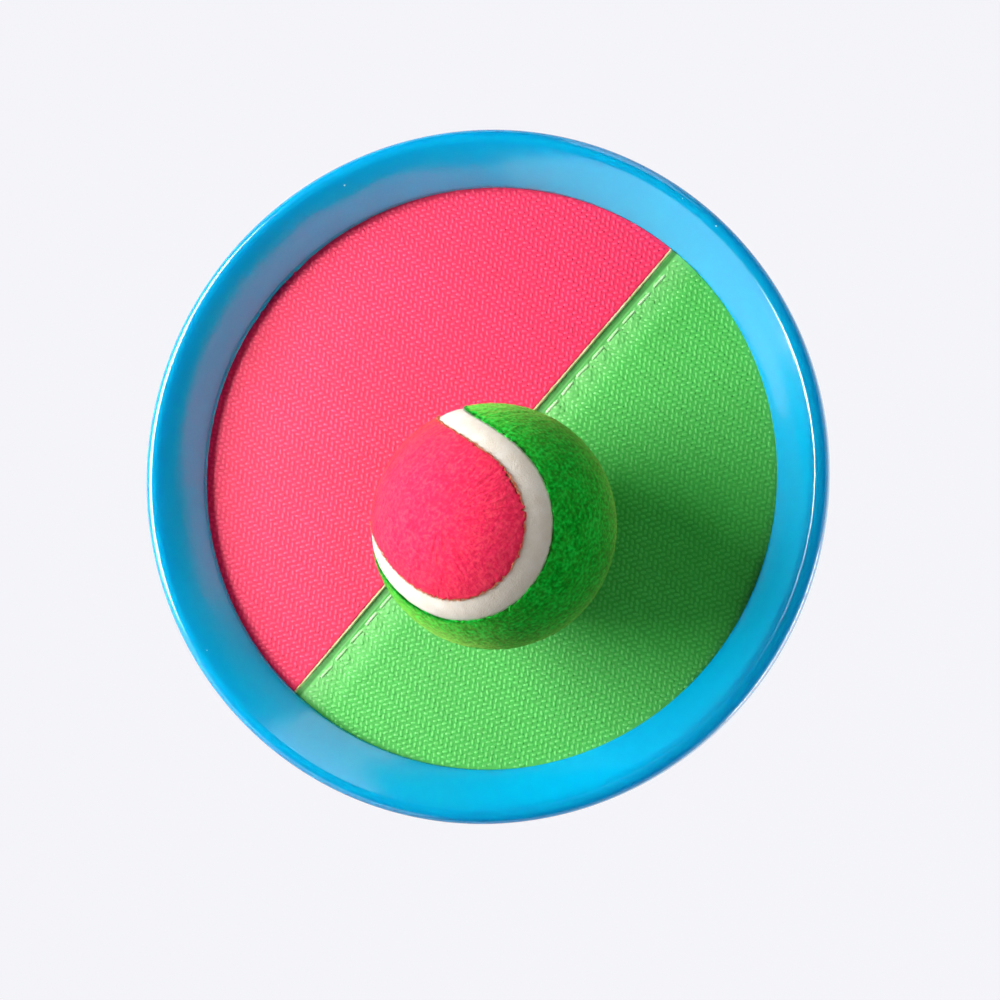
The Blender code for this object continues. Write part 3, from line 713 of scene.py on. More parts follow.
def crowned(x, y, top, under):
    """Height lowered towards the round edge, never below the underside."""
    return np.maximum(top - CROWN * (x ** 2 + y ** 2) / CLOTH_RADIUS ** 2, under + LEAST_CLOTH)


def pink_pile_height(x, y):
    """Top of the pink pile, down to the bare tongue under the green lap."""
    return np.where(y > SEAM_EDGE_Y + PINK_START, crowned(x, y, PILE_TOP, FABRIC_BOTTOM), TONGUE_TOP)


def green_pile_height(x, y):
    """Top of the green pile: a turned edge, a sunk selvage, then a field that rises and puckers."""
    inset = SEAM_EDGE_Y - y
    ridge = EDGE_RIDGE * np.exp(-(inset / EDGE_RIDGE_RUN) ** 2)
    valley = VALLEY_DEPTH * np.exp(-((inset - VALLEY_INSET) / VALLEY_RUN) ** 2)
    drawn = LAP_SINK * (1 - smooth_step((FIELD_EDGE_Y - y) / LAP_RUN))
    phase = 2 * math.pi * (x - STITCH_LOW.x - STITCH_LENGTH / 2) / STITCH_PITCH
    pucker = np.exp(-((y - (STITCH_Y - PUCKER_RUN)) / PUCKER_RUN) ** 2) * (0.5 + 0.5 * np.cos(phase))
    selvage = smooth_step((y - FIELD_EDGE_Y) / SELVAGE_RUN)
    field = PILE_TOP - drawn
    top = field * (1 - selvage) + (SELVAGE_TOP + ridge - valley) * selvage + PUCKER_HEIGHT * pucker
    return crowned(x, y, top, LAP_BOTTOM)


def flat_bottom(x, y):
    return np.full_like(x, FABRIC_BOTTOM)


def lapped_bottom(x, y):
    """Underside of the green cloth, which passes over the pink tongue."""
    over = smooth_step((y - (TONGUE_END_Y - LAP_STEP_START)) / LAP_STEP_RUN)
    return FABRIC_BOTTOM + (LAP_BOTTOM - FABRIC_BOTTOM) * over


def half_disc(name, straight_y, rim_y, height, under, material, node, slot, rows, creases=()):
    """Cloth of half the fabric, from its straight edge to the top of its round edge."""
    share = np.minimum(np.linspace(0, 1, rows) ** CLOTH_CROWDING, 1 - CLOTH_SHORT)
    y = np.concatenate((straight_y + (rim_y - straight_y) * share, creases))
    y = y[np.argsort(np.abs(y - straight_y)), None]
    across = np.sin(np.linspace(-1, 1, CLOTH_COLUMNS) * math.pi / 2 * 0.9)
    x = np.sqrt(CLOTH_RADIUS ** 2 - y ** 2) * across / across[-1]
    top, bottom = (vectors(x, y, surface(x, y)) for surface in (height, under))
    return dress(slab(name, top, bottom), material, PADDLE, slot, node)


def hook_template():
    """One low hook: two filaments side by side, rising from the pile and bending back into it."""
    along = np.array((-0.5, -0.24, 0.2, 0.5)) * HOOK_LENGTH
    rise = np.array((-1.0, 0.0, 0.0, -1.1)) * HOOK_STAND
    spread = np.array((0.7, 1.0, 0.96, 0.6)) * HOOK_WIDTH / 2
    across = np.array((-1.0, -0.55, 0.0, 0.55, 1.0))
    height = np.array((-0.8, 0.55, 0.75, 0.55, -0.8)) * HOOK_STAND
    points = vectors(along[:, None], spread[:, None] * across, rise[:, None] + height)
    quads = grid_faces(len(along), len(across), False, True)
    start = np.array([(0, 1, 2), (0, 2, 3), (0, 3, 4)])
    end = start + (len(along) - 1) * len(across)
    return points.reshape(-1, 3), np.concatenate((quads[:, :3], quads[:, [0, 2, 3]], start[:, ::-1], end))


def hook_field(name, low_y, high_y, height, material, slot, seed):
    """Herringbone of hooks: two columns lean one way and the next two the other."""
    rng = np.random.default_rng(seed)
    columns = int(CLOTH_RADIUS / COLUMN_PITCH) + 1
    rows = int(CLOTH_RADIUS / ROW_PITCH) + 1
    column, row = lattice(np.arange(-columns, columns + 1), np.arange(-rows, rows + 1))
    x = column * COLUMN_PITCH
    y = (row + 0.5 * (column % 2)) * ROW_PITCH
    inside = (np.hypot(x, y) < CLOTH_RADIUS - HOOK_EDGE) & (y > low_y) & (y < high_y)
    column, x, y = column[inside], x[inside], y[inside]
    heading = np.where((column // 2) % 2 == 0, HOOK_LEAN, -HOOK_LEAN)
    heading = heading + rng.normal(0, HOOK_ANGLE_JITTER, len(x))
    ahead = vectors(np.sin(heading), np.cos(heading), 0.0)
    beside = vectors(-np.cos(heading), np.sin(heading), 0.0)
    outward = np.abs(ahead[:, 0] * x + ahead[:, 1] * y) / np.hypot(x, y)
    room = (CLOTH_RADIUS - np.hypot(x, y)) / (outward * HOOK_LENGTH / 2 + LEAST_REACH)
    length = np.clip(room, SHORTEST_HOOK, 1) * rng.normal(1, HOOK_LENGTH_JITTER, len(x))
    places = vectors(x, y, height(x, y)) + rng.normal(0, HOOK_JITTER, (len(x), 3)) * (1, 1, 0.06)
    up = vectors(0.0, 0.0, rng.normal(1, HOOK_HEIGHT_JITTER, len(x)))
    points, faces = scatter(*hook_template(), places, ahead * length[:, None], beside, up)
    piece = mesh_object(name, points, faces)
    bake_map(piece, points)
    return dress(piece, material, PADDLE, slot)


def bake_map(piece, points):
    """Texture map seen from above, sheared by height so that upright faces keep some width."""
    shear = np.array((0.35, 0.45))
    flat = points[:, :2] + points[:, 2:3] * shear
    low, high = flat.min(axis=0), flat.max(axis=0)
    flat = (flat - low) / (high - low).max() * 0.98 + 0.01
    layer = piece.data.uv_layers.new(name="OFBake")
    corners = np.zeros(len(piece.data.loops), np.int32)
    piece.data.loops.foreach_get("vertex_index", corners)
    layer.data.foreach_set("uv", flat[corners].astype(np.float32).ravel())


def build_seam():
    """Stitches along the lap and the sealed edge of the green fabric."""
    rng = np.random.default_rng(SEED + 3)
    count = int(round((STITCH_HIGH.x - STITCH_LOW.x - STITCH_LENGTH) / STITCH_PITCH)) + 1
    x = STITCH_LOW.x + STITCH_LENGTH / 2 + np.arange(count) * STITCH_PITCH
    height = green_pile_height(x, np.full(count, STITCH_Y - STITCH_SEAT)) + THREAD_RADIUS * 0.05
    skew = rng.normal(0, STITCH_SKEW, count)
    along = vectors(np.cos(skew), np.sin(skew), 0.0) * STITCH_LENGTH
    across = vectors(-np.sin(skew), np.cos(skew), 0.0) * THREAD_RADIUS
    up = np.tile((0, 0, THREAD_RADIUS * STITCH_FLATNESS), (count, 1))
    stitches = scatter(*stitch_template(5), vectors(x, STITCH_Y, height), along, across, up)
    stitches = mesh_object("lap_stitches", *stitches)
    thread = plain_material("lap_thread", (144, 212, 132), (194, 234, 180), 0.8)
    dress(stitches, thread, PADDLE, "seam_thread", "panel_seam_thread")

    half = math.sqrt(CLOTH_RADIUS ** 2 - SEAM_EDGE_Y ** 2)
    x = np.linspace(-half, half, BEAD_RINGS)[:, None]
    angle = circle(BEAD_SIDES)
    radius = EDGE_BEAD * (1 + BEAD_JITTER * rng.standard_normal(x.shape))
    z = green_pile_height(x, np.full_like(x, SEAM_EDGE_Y)) - EDGE_BEAD * BEAD_SINK
    points = vectors(x, SEAM_EDGE_Y + radius * np.cos(angle), z + radius * np.sin(angle))
    bead = close_holes(mesh_object("lap_edge", points, grid_faces(BEAD_RINGS, BEAD_SIDES, False, True)))
    pale = plain_material("lap_edge_fringe", (168, 174, 106), (206, 198, 150), 0.9)
    dress(bead, pale, PADDLE, "hook_green")
    return stitches, bead


def build_fabric():
    rim = CLOTH_RADIUS
    pink_edge = SEAM_EDGE_Y + PINK_START
    # Painted sheen of the green cloth beside its stitches, mixed into its colour.
    seam_sheen_colour = (90, 192, 88)
    # Each pile is painted a shade darker than its hooks: painted shade in the gaps between the hooks.
    pink_pile = pile_material("pink_pile", (220, 6, 72), (234, 12, 84), PINK_GLOSS * PILE_DULL)
    # The green pile's stripe colours, (0, 114, 14) and (24, 142, 34), are partly painted shade of the sunk
    # selvage.
    green_pile = pile_material("green_pile", (26, 162, 42), (36, 178, 54), GREEN_GLOSS * PILE_DULL,
                               seam_sheen_colour, (0, 114, 14), (24, 142, 34))
    pink_hook = hook_material("pink_hook", (234, 10, 80), (243, 20, 92), (250, 36, 108), PINK_GLOSS)
    green_hook = hook_material("green_hook", (30, 174, 46), (40, 189, 56), (52, 202, 68), GREEN_GLOSS,
                               seam_sheen_colour)
    pink = half_disc("pink_ground", TONGUE_END_Y, rim, pink_pile_height, flat_bottom, pink_pile,
                     "hook_panel_pink", "hook_pink", PINK_ROWS,
                     (pink_edge - CREASE_HALF, pink_edge + CREASE_HALF))
    green = half_disc("green_ground", SEAM_EDGE_Y, -rim, green_pile_height, lapped_bottom, green_pile,
                      "hook_panel_green", "hook_green", GREEN_ROWS)
    pink_hooks = hook_field("pink_hooks", pink_edge + PINK_HOOK_START, rim, pink_pile_height, pink_hook,
                            "hook_pink", SEED)
    green_hooks = hook_field("green_hooks", -rim, FIELD_EDGE_Y + GREEN_HOOK_REACH, green_pile_height,
                             green_hook, "hook_green", SEED + 1)
    stitches, bead = build_seam()


# Ball

def seam_points(turn):
    """Unit vectors on the closed seam of the ball."""
    main = 1 - SEAM_WAVE
    return unit(vectors(main * np.cos(turn) + SEAM_WAVE * np.cos(3 * turn),
                        main * np.sin(turn) - SEAM_WAVE * np.sin(3 * turn), SEAM_RISE * np.sin(2 * turn)))


def unit(rows):
    return rows / np.linalg.norm(rows, axis=-1, keepdims=True)


def seam_sides(turn):
    nudge = 0.001
    return unit(np.cross(seam_points(turn + nudge) - seam_points(turn - nudge), seam_points(turn)))


def beside_seam(turn, offset):
    """Unit vectors beside the seam, offset in metres on the ball's surface."""
    angle = np.asarray(offset / BALL_RADIUS)[..., None]
    return seam_points(turn) * np.cos(angle) + seam_sides(turn) * np.sin(angle)


def on_ball(directions, radius):
    """Frame points from directions and radii in the ball's own axes."""
    turned = directions @ np.array(BALL_TURN.to_matrix()).T
    return BALL_CENTRE + turned * np.asarray(radius)[..., None]


def felt_grid(pole, edge_offset, ragged):
    """Directions over a dog-bone panel, from its spine to its edge, (columns, rings, 3)."""
    turn = circle(FELT_COLUMNS)
    spine = np.array((1, -pole, 0)) / math.sqrt(2)
    peak = seam_points(np.array(math.pi / 4))
    lobe_end = math.pi / 2 + math.atan2(peak[2], math.hypot(peak[0], peak[1])) - LOBE_RADIUS
    even_edge = beside_seam(turn, edge_offset)
    angle = np.clip(np.arctan2(even_edge @ spine, even_edge[:, 2] * pole), -lobe_end, lobe_end)
    root = np.sin(angle)[:, None] * spine + np.cos(angle)[:, None] * np.array((0, 0, pole))
    edge = beside_seam(turn, edge_offset + ragged)
    share = np.sin(np.linspace(0, math.pi / 2, FELT_RINGS)) ** 0.8
    between = np.arccos(np.clip((root * edge).sum(axis=1), -1, 1))[:, None, None]
    share = share[None, :, None]
    grid = np.sin((1 - share) * between) * root[:, None] + np.sin(share * between) * edge[:, None]
    return grid / np.sin(between)


def felt_height(directions, seed):
    """Small lumps of a felt surface."""
    rng = np.random.default_rng(seed)
    height = np.zeros(directions.shape[:-1])
    for wave in rng.standard_normal((FELT_WAVES, 3)):
        fineness = FELT_FINENESS + FELT_FINENESS * rng.random()
        height += np.sin(directions @ (wave * fineness) + rng.random() * 6.28)
    return height / FELT_WAVES ** 0.5


def build_felt(name, pole, side, material, slot, seed):
    """Felt panel as a closed shell with a ragged, slightly rounded edge."""
    rng = np.random.default_rng(seed)
    ragged = np.zeros(FELT_COLUMNS)
    for wavelength, size in FELT_RAGS:
        ragged += size * ripple(rng, FELT_COLUMNS, wavelength)
    grid = felt_grid(pole, side * (BAND_WIDTH / 2 + FELT_EDGE_GAP), side * ragged)
    edge_round = np.clip(1 - np.arange(FELT_RINGS)[::-1] / 2, 0, 1) ** 2 * FELT_EDGE_ROUND
    top = on_ball(grid, BALL_RADIUS + FELT_LUMPS * felt_height(grid, seed) - edge_round)
    bottom = on_ball(grid, BALL_RADIUS - FELT_THICKNESS)
    panel = weld(slab(name, top, bottom, closed_rows=True, first_wall=False))
    return dress(panel, material, BALL, slot, name.replace("felt_panel", "ball_felt"))


def build_band():
    offset = np.linspace(-0.5, 0.5, BAND_RINGS) * BAND_WIDTH
    grid = beside_seam(circle(BAND_COLUMNS)[:, None], offset)
    rng = np.random.default_rng(SEED + 20)
    folds = ripple(rng, BAND_COLUMNS, BAND_FOLD_WAVE)[:, None] * BAND_FOLD
    folds = folds + felt_height(grid, SEED + 21) * BAND_LUMPS
    crown = (1 - (2 * offset / BAND_WIDTH) ** 2) * BAND_CROWN
    top = on_ball(grid, BALL_RADIUS - BAND_SINK + folds + crown)
    bottom = on_ball(grid, BALL_RADIUS - FELT_THICKNESS)
    band = slab("band_strip", top, bottom, closed_rows=True)
    return dress(band, band_material(), BALL, "seam_band", "ball_seam_band")


def build_fringe(name, sign, material, slot):
    """Fibres that stick out over the band from the cut edge of a panel."""
    rng = np.random.default_rng(SEED + 35 + sign)
    count = FRINGE_FIBRES
    turn = rng.random(count) * 2 * math.pi
    clump = 0.5 + 0.5 * np.sin(turn * 131 + 2 * np.sin(turn * 37))
    offset = sign * (BAND_WIDTH / 2 + FRINGE_START - FRINGE_SPREAD * clump * rng.random(count))
    normal = beside_seam(turn, offset)
    out = -sign * seam_sides(turn)
    heading = unit(out + normal * rng.uniform(0.25, 0.8, (count, 1)) + rng.normal(0, 0.4, (count, 3)))
    length = FRINGE_LENGTH * rng.uniform(0.45, 0.95, (count, 1))
    fibre_mesh(name, normal, heading, length, rng, material, slot)


def fibre_mesh(name, normal, heading, length, rng, material, slot):
    """Tapered fibres rooted in the felt, in the ball's own axes."""
    turned = np.array(BALL_TURN.to_matrix()).T
    template = np.array([(1, 0, 0), (-0.5, 0.87, 0), (-0.5, -0.87, 0), (0, 0, 1)], float)
    faces = np.array([(0, 2, 1), (0, 1, 3), (1, 2, 3), (2, 0, 3)])
    base = unit(np.cross(heading, rng.standard_normal(normal.shape)))
    width = FIBRE_WIDTH / 2 * rng.uniform(0.7, 1.3, (len(normal), 1))
    roots = on_ball(normal, BALL_RADIUS - FIBRE_ROOT)
    parts = (base * width, np.cross(heading, base) * width, heading * length)
    piece = mesh_object(name, *scatter(template, faces, roots, *(part @ turned for part in parts)))
    return dress(piece, material, BALL, slot)


def build_nap(names, materials, slots):
    """Short fibres all over the two felt panels."""
    rng = np.random.default_rng(SEED + 30)
    normal = unit(rng.standard_normal((FIBRES, 3)))
    turn = circle(SEAM_STEPS)
    nearest = np.argmax(normal @ seam_points(turn).T, axis=1)
    aside = (normal * seam_sides(turn)[nearest]).sum(axis=1)
    distance = np.arcsin(np.clip(aside, -1, 1)) * BALL_RADIUS
    lean = unit(np.cross(normal, rng.standard_normal(normal.shape)))
    heading = unit(normal * rng.uniform(0.6, 1.5, (len(normal), 1)) + lean)
    length = FIBRE_LENGTH * rng.uniform(0.5, 1.1, (len(normal), 1))
    for sign, name, material, slot in zip((1, -1), names, materials, slots):
        keep = distance * sign > BAND_WIDTH / 2 + NAP_START
        fibre_mesh(name, normal[keep], heading[keep], length[keep], rng, material, slot)


def build_ball():
    red_look = ((255, 150, 74), (252, 66, 88), 0.7)
    green_look = ((190, 240, 110), (70, 190, 52), 1.0)
    red = felt_material("red_felt", (236, 36, 82), (246, 48, 92), (255, 68, 100), *red_look)
    green = felt_material("green_felt", (0, 146, 28), (0, 192, 46), (28, 230, 76), *green_look)
    red_nap = felt_material("red_fibre", (240, 42, 84), (248, 56, 94), (255, 92, 102), *red_look)
    green_nap = felt_material("green_fibre", (0, 160, 32), (2, 204, 52), (52, 240, 84), *green_look)
    # The red fringe is painted pale orange: painted light of backlit fibres, which also lifts the shade under
    # the felt's edge.
    red_edge_painted_glow = felt_material("red_fringe", (255, 108, 84), (255, 156, 110), (255, 204, 158),
                             red_look[0], (255, 178, 130), 0.5)
    # The green fringe is painted darker than its felt: painted shade under the felt's edge.
    green_edge_painted_shade = felt_material("green_fringe", (0, 96, 28), (4, 132, 40), (40, 168, 66),
                               green_look[0], (20, 140, 50), 0.3)
    build_felt("felt_panel_red", -1, 1, red, "felt_red", SEED + 10)
    build_felt("felt_panel_green", 1, -1, green, "felt_green", SEED + 11)
    build_band()
    build_nap(("nap_red", "nap_green"), (red_nap, green_nap), ("felt_red", "felt_green"))
    build_fringe("fringe_red", 1, red_edge_painted_glow, "felt_red")
    build_fringe("fringe_green", -1, green_edge_painted_shade, "felt_green")


# Strap

def hand_arch():
    """Centre line of the strap over the hand, from the bar at +X to the bar at -X."""
    reach = BAR_X - WRAP_RADIUS
    angles = np.linspace(0, math.pi, 3 * ARCH_STEPS)
    power = 2 / ARCH_SQUARENESS
    x = reach * np.sign(np.cos(angles)) * np.abs(np.cos(angles)) ** power
    z = BAR_Z - HAND_LOOP_DEPTH * np.abs(np.sin(angles)) ** power
    along = np.concatenate(([0], np.cumsum(np.hypot(np.diff(x), np.diff(z)))))
    return along, x, z


def beside_arch(distance, offset, from_tail_end=False):
    """Points, directions and outward normals beside the arch at lengths from one end, as (x, z) rows."""
    along, x, z = hand_arch()
    step = STRAP_THICKNESS / 2
    place = along[-1] - distance if from_tail_end else distance

    def at(where):
        return vectors(np.interp(where, along, x), np.interp(where, along, z))
    ahead = unit(at(place + step) - at(place - step))
    normal = vectors(-ahead[..., 1], ahead[..., 0])
    return at(place) + normal * np.asarray(offset)[..., None], ahead, normal


def eased(distance, far_offset):
    blend = smooth_step(distance / LEG_EASE)
    return 2 * WRAP_RADIUS * (1 - blend) + far_offset * blend


def strap_leg(start, end, far_offset, from_tail_end):
    distance = np.linspace(start, end, LEG_STEPS)
    return beside_arch(distance, eased(distance, far_offset), from_tail_end)[0]


def band(name, line, normal, y, half_thickness):
    """Closed band along (x, z) points, with its y and half its thickness given across it."""
    x, z = line[:, None, 0], line[:, None, 1]
    over, up = normal[:, None, 0], normal[:, None, 1]
    faces = (vectors(x + over * rise, y, z + up * rise) for rise in (half_thickness, -half_thickness))
    return slab(name, *faces)


def webbing(name, line, tip=0.0):
    """Woven band along (x, z) points: warp ribs, weft picks, round selvages and round corners at its tip."""
    line = np.asarray(line, float)
    length = np.concatenate(([0], np.cumsum(np.linalg.norm(np.diff(line, axis=0), axis=1))))
    along = np.linspace(0, length[-1], int(length[-1] / WEB_STEP) + 1)
    line = vectors(*(np.interp(along, length, part) for part in line.T))
    ahead = unit(np.gradient(line, axis=0))
    normal = vectors(-ahead[:, 1], ahead[:, 0])

    half = np.full(len(along), STRAP_WIDTH / 2)
    if tip:
        short = np.clip(along - (along[-1] - tip), 0, tip)
        half -= tip - np.sqrt(tip ** 2 - short ** 2 * 0.999)
    across = np.linspace(-1, 1, int(STRAP_WIDTH / WEB_STEP * 1.3))
    y = half[:, None] * across[None]
    rib = np.cos(2 * math.pi * y / WEB_RIB)
    pick = np.cos(2 * math.pi * along[:, None] / WEB_PICK + math.pi * np.floor(y / WEB_RIB + 0.5))
    selvage = np.clip((np.abs(y) - half[:, None]) / WEB_EDGE + 1, 0, 1)
    relief = WEB_RELIEF * (0.45 * rib + 0.4 * pick * (0.5 + 0.5 * rib) - 0.85) * (1 - selvage)
    edge = STRAP_THICKNESS / 2 * (1 - 0.75 * selvage ** 3)
    return band(name, line, normal, y, edge + relief)


def tape_pad(name, offset, length):
    """Ground of a strip of hook or loop tape on the tail's side of the arch."""
    distance = np.linspace(PAD_START, PAD_START + length, int(length / TAPE_STEP))
    line, _, normal = beside_arch(distance, offset, True)
    across = np.linspace(-1, 1, TAPE_COLUMNS)
    edge = PAD_THICKNESS / 2 * (1 - 0.5 * np.abs(across) ** 12)
    return band(name, line, normal, across * (STRAP_WIDTH / 2 - PAD_EDGE), edge)


def on_strap(distance, across, offset, from_tail_end=True):
    """Frame points and axes beside the arch: along the strap, across it and away from the hand."""
    line, ahead, normal = beside_arch(distance, offset, from_tail_end)
    if from_tail_end:
        ahead = -ahead
    places = vectors(line[:, 0], across, line[:, 1])
    along, out = (vectors(axis[:, 0], 0.0, axis[:, 1]) for axis in (ahead, normal))
    return places, along, np.tile((0.0, 1.0, 0.0), (len(distance), 1)), out


def build_loop_nap(offset, material):
    """Soft loops standing on the loop tape, as bent fibres that cross each other."""
    rng = np.random.default_rng(SEED + 40)
    count = LOOP_FIBRES
    distance = PAD_START + TAPE_EDGE + rng.random(count) * (LOOP_PAD_LENGTH - 2 * TAPE_EDGE)
    across = rng.uniform(-1, 1, count) * (STRAP_WIDTH / 2 - PAD_EDGE - TAPE_EDGE)
    places, along, side, out = on_strap(distance, across, offset + PAD_THICKNESS / 2 - TAPE_SINK)
    spin = rng.random((count, 1)) * 2 * math.pi
    first = along * np.cos(spin) + side * np.sin(spin)
    line = np.array([(-0.5, -0.1), (-0.4, 0.55), (0.05, 0.85), (0.45, 0.45), (0.5, -0.1)]) * LOOP_SIZE
    template = tube_template(line, np.full(4, LOOP_RADIUS), 3)
    nap = mesh_object("loop_nap", *scatter(*template, places, first, np.cross(out, first), out))
    return dress(nap, material, PADDLE, "loop_tape")


def build_tape_hooks(offset, material):
    """Rows of bent hooks on the hook tape, each turned towards one end or the other."""
    rng = np.random.default_rng(SEED + 41)
    half = STRAP_WIDTH / 2 - PAD_EDGE
    steps = [np.arange(low + TAPE_HOOK_START, high - TAPE_HOOK_END, TAPE_HOOK_PITCH)
             for low, high in ((PAD_START, PAD_START + HOOK_PAD_LENGTH), (-half, half))]
    distance, across = lattice(*steps)
    places, along, side, out = on_strap(distance, across, offset - PAD_THICKNESS / 2 + TAPE_SINK)
    line = np.array([(-0.4, -0.1), (-0.38, 0.6), (-0.05, 0.98), (0.32, 0.8), (0.42, 0.45)]) * TAPE_HOOK_SIZE
    template = tube_template(line, np.array((1, 1, 0.9, 0.8)) * TAPE_HOOK_RADIUS, 3)
    turn = rng.choice((-1.0, 1.0), (len(distance), 1))
    hooks = mesh_object("tape_hooks", *scatter(*template, places, along * turn, -side * turn, -out))
    return dress(hooks, material, TAIL, "hook_tape")


def sewn_box(name, length, offset, body, material, node):
    """Box of stitches with a cross in it, on the outer face of webbing that lies offset from the arch."""
    half = STRAP_WIDTH / 2 - SEW_MARGIN
    run = length - 2 * SEW_MARGIN
    box = [(0, -half), (run, -half), (run, half), (0, half)]
    height = offset + STRAP_THICKNESS / 2 + SEW_RADIUS * SEW_STAND
    stitches = []
    for (s0, y0), (s1, y1) in (*zip(box, box[1:] + box[:1]), (box[0], box[2]), (box[1], box[3])):
        reach = math.hypot(s1 - s0, y1 - y0)
        count = max(2, int(reach / SEW_PITCH))
        share = (np.arange(count) + 0.5) / count
        distance = PAD_START + SEW_MARGIN + (s0 + (s1 - s0) * share)
        across = y0 + (y1 - y0) * share
        places, along, side, out = on_strap(distance, across, height, offset == TAIL_OFFSET)
        heading = along * (s1 - s0) / reach + side * (y1 - y0) / reach
        stitch = heading * min(SEW_LENGTH, reach / count * 0.85)
        stitches.append((places, stitch, np.cross(out, heading) * SEW_RADIUS, out * SEW_RADIUS))
    parts = [np.concatenate(part) for part in zip(*stitches)]
    piece = mesh_object(name, *scatter(*stitch_template(4, 11, 6), *parts))
    return dress(piece, material, body, "strap_thread", node)


def build_strap():
    web = cloth_material("strap_webbing", (22, 22, 24), (52, 52, 56))
    tape = cloth_material("strap_tape", (26, 26, 29), (58, 58, 62), 0.0005)
    thread = plain_material("strap_thread", (40, 40, 44), (78, 78, 84), 0.6)
    length = hand_arch()[0][-1]

    lap = strap_leg(LAP_LENGTH, 0, LAP_OFFSET, False)
    wrap_a = arc((BAR_X, BAR_Z), WRAP_RADIUS, 0, math.pi, 24)[1:-1]
    arch = beside_arch(np.linspace(0, length, ARCH_STEPS), 0.0)[0]
    wrap_b = arc((-BAR_X, BAR_Z), WRAP_RADIUS, 0, math.pi / 2, 12)[1:]
    span = webbing("webbing_span", np.concatenate((lap, wrap_a, arch, wrap_b)))
    dress(span, web, PADDLE, "webbing", "strap_span")

    rest_of_wrap = arc((-BAR_X, BAR_Z), WRAP_RADIUS, math.pi / 2, math.pi, 12)[:-1]
    run = strap_leg(0, TAIL_LENGTH, TAIL_OFFSET, True)
    tail = webbing("webbing_tail", np.concatenate((rest_of_wrap, run)), TAIL_CORNER)
    peel = next(joint for joint in frame["joints"] if joint["name"] == "strap_peel")
    pivot = Vector(peel["pos_m"])
    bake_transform(tail, PADDLE, TAIL, start=pivot + Vector((0, 0, 0.0022)), end=pivot - Vector((0, 0, 0.0022)))
    dress(tail, web, TAIL, "webbing", "strap_tail")

    loop_offset = STRAP_THICKNESS / 2 + FIT_GAP + PAD_THICKNESS / 2
    hook_offset = TAIL_OFFSET - STRAP_THICKNESS / 2 - FIT_GAP - PAD_THICKNESS / 2
    dress(tape_pad("loop_tape", loop_offset, LOOP_PAD_LENGTH), tape, PADDLE, "loop_tape", "strap_loop_pad")
    dress(tape_pad("hook_tape", hook_offset, HOOK_PAD_LENGTH), tape, TAIL, "hook_tape", "strap_hook_pad")
    build_loop_nap(loop_offset, tape)
    build_tape_hooks(hook_offset, tape)
    sewn_box("anchor_stitches", LAP_LENGTH - PAD_START, LAP_OFFSET, PADDLE, thread, "strap_anchor_thread")
    sewn_box("tail_stitches", HOOK_PAD_LENGTH, TAIL_OFFSET, TAIL, thread, "strap_tail_thread")


def dress_hidden_nodes():
    """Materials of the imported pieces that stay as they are, inside the dish and the ball."""
    film = plain_material("bond_film", (214, 206, 184), (236, 230, 212), 0.4)
    rubber = plain_material("core_rubber", (44, 44, 44), (70, 70, 68), 0.85)
    inside = {"adhesive_disc": film, "ball_core_upper": rubber, "ball_core_lower": rubber}
    for node, material in inside.items():
        data = frame["nodes"][node].data
        data.materials.clear()
        data.materials.append(material)


# Camera, lights and floor

CAMERA_AZIMUTH = 20.10
CAMERA_ELEVATION = 77.39
CAMERA_ROLL = math.radians(-69.22)
CAMERA_DISTANCE = 0.85
CAMERA_LENS = 112.93
CAMERA_SENSOR = 36
AIM_RIGHT = 0.0026  # what the camera looks at, from the origin
AIM_UP = -0.00592
FLOOR_Z = -0.75
FLOOR_REACH = 30.0
FLOOR_GLOW = 0.95  # share of the floor that is even light to the eye
AMBIENT = (0.03, 0.03, 0.032)
PALE = srgb(245, 245, 250)


def around(azimuth, elevation, distance=1.0):
    a, e = math.radians(azimuth), math.radians(elevation)
    return Vector((math.sin(a) * math.cos(e), -math.cos(a) * math.cos(e), math.sin(e))) * distance


def build_camera():
    back = around(CAMERA_AZIMUTH, CAMERA_ELEVATION)
    level = Vector((0, 0, 1)).cross(back).normalized()
    rise = back.cross(level)
    right = level * math.cos(CAMERA_ROLL) + rise * math.sin(CAMERA_ROLL)
    up = rise * math.cos(CAMERA_ROLL) - level * math.sin(CAMERA_ROLL)
    place = back * CAMERA_DISTANCE
    back = (place - right * AIM_RIGHT - up * AIM_UP).normalized()
    right = up.cross(back).normalized()
    up = back.cross(right)
    data = bpy.data.cameras.new("camera")
    data.lens = CAMERA_LENS
    data.sensor_width = CAMERA_SENSOR
    camera = add_object("camera", data)
    camera.matrix_world = Matrix((right, up, back)).transposed().to_4x4()
    camera.location = place
    bpy.context.scene.camera = camera


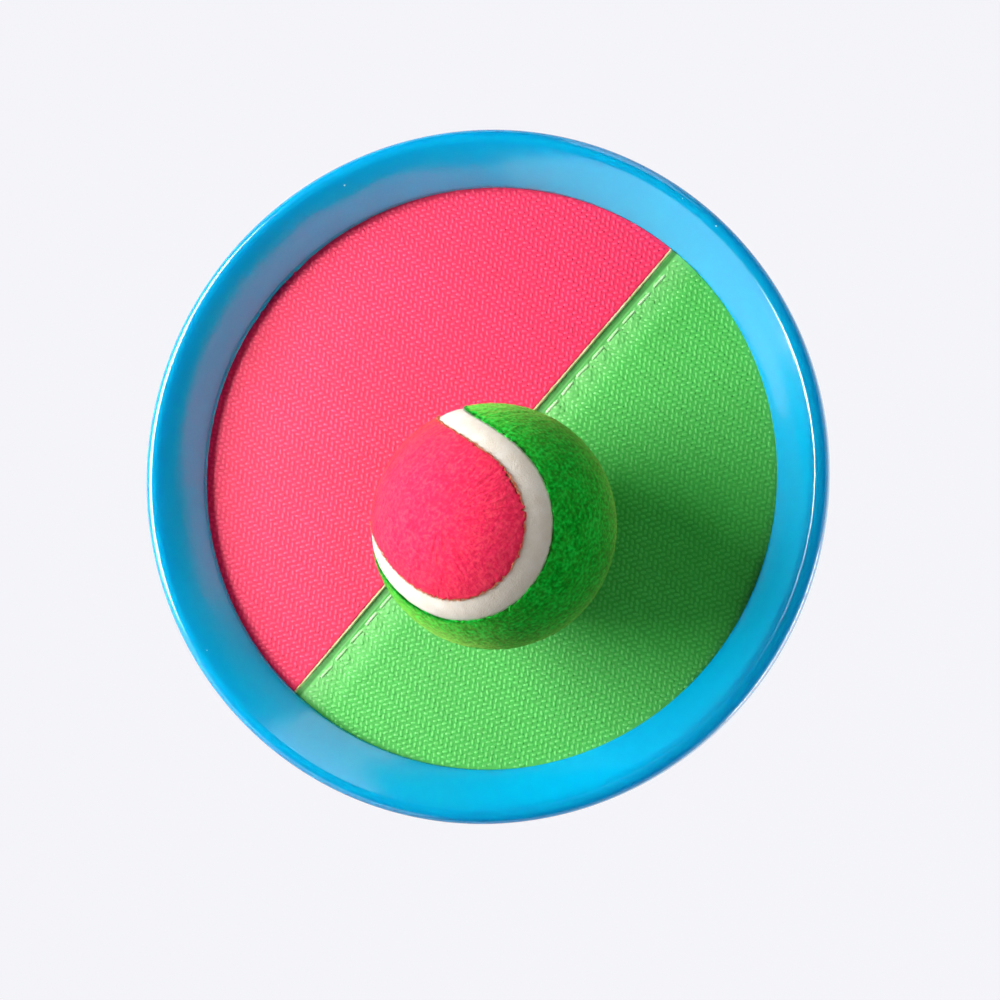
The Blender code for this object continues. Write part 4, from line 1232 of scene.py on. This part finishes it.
def lamp(name, azimuth, elevation, distance, size, power, *hidden_from):
    """Soft box that faces the paddle, unseen by some kinds of ray."""
    data = bpy.data.lights.new(name, "AREA")
    data.shape = "RECTANGLE"
    data.size, data.size_y = size
    data.energy = power
    light = add_object(name, data)
    light.location = around(azimuth, elevation, distance)
    light.rotation_mode = "QUATERNION"
    light.rotation_quaternion = light.location.to_track_quat("Z", "Y")
    for ray in hidden_from:
        setattr(light, "visible_" + ray, False)


def build_lights():
    lamp("key", 209, 33, 0.8, (0.66, 0.40), 14.6)
    lamp("fill", 20, 48, 1.4, (1.2, 1.2), 6.5, "glossy")
    lamp("bounce", 10, -42, 0.9, (0.5, 0.2), 3.8, "camera")
    lamp("sheen", 213, 38, 0.38, (0.2, 0.12), 1.2, "diffuse", "camera")
    lamp("panel_left", 257, 16, 1.0, (1.3, 0.48), 3.2, "diffuse")
    lamp("panel_top", 118, 20, 1.0, (0.35, 0.7), 1.4)
    world = bpy.data.worlds.new("studio")
    bpy.context.scene.world = world
    world.use_nodes = True
    nodes = Nodes(world.node_tree)
    shade = nodes.tree.nodes["Background"]
    shade.inputs["Color"].default_value = (*AMBIENT, 1)
    seen = nodes.node("ShaderNodeBackground", {"Color": (*PALE, 1)})
    nodes.show_to(("Is Camera Ray",), 1.0, shade, seen, "World Output")


def build_floor():
    sides = ((-1, -1), (1, -1), (1, 1), (-1, 1))
    corners = [(x * FLOOR_REACH, y * FLOOR_REACH, FLOOR_Z) for x, y in sides]
    floor = mesh_object("floor", corners, [(0, 1, 2, 3)])
    surface = Surface("floor", Base_Color=PALE, Roughness=0.9)
    glow = surface.node("ShaderNodeEmission", {"Color": (*PALE, 1)})
    rays = ("Is Camera Ray", "Is Glossy Ray", "Is Transmission Ray")
    surface.show_to(rays, FLOOR_GLOW, surface.shader, glow, "Material Output")
    floor.data.materials.append(surface.material)


build_camera()
build_dish()
build_fabric()
build_ball()
build_strap()
dress_hidden_nodes()
build_lights()
build_floor()
bpy.context.scene.view_settings.view_transform = "Standard"
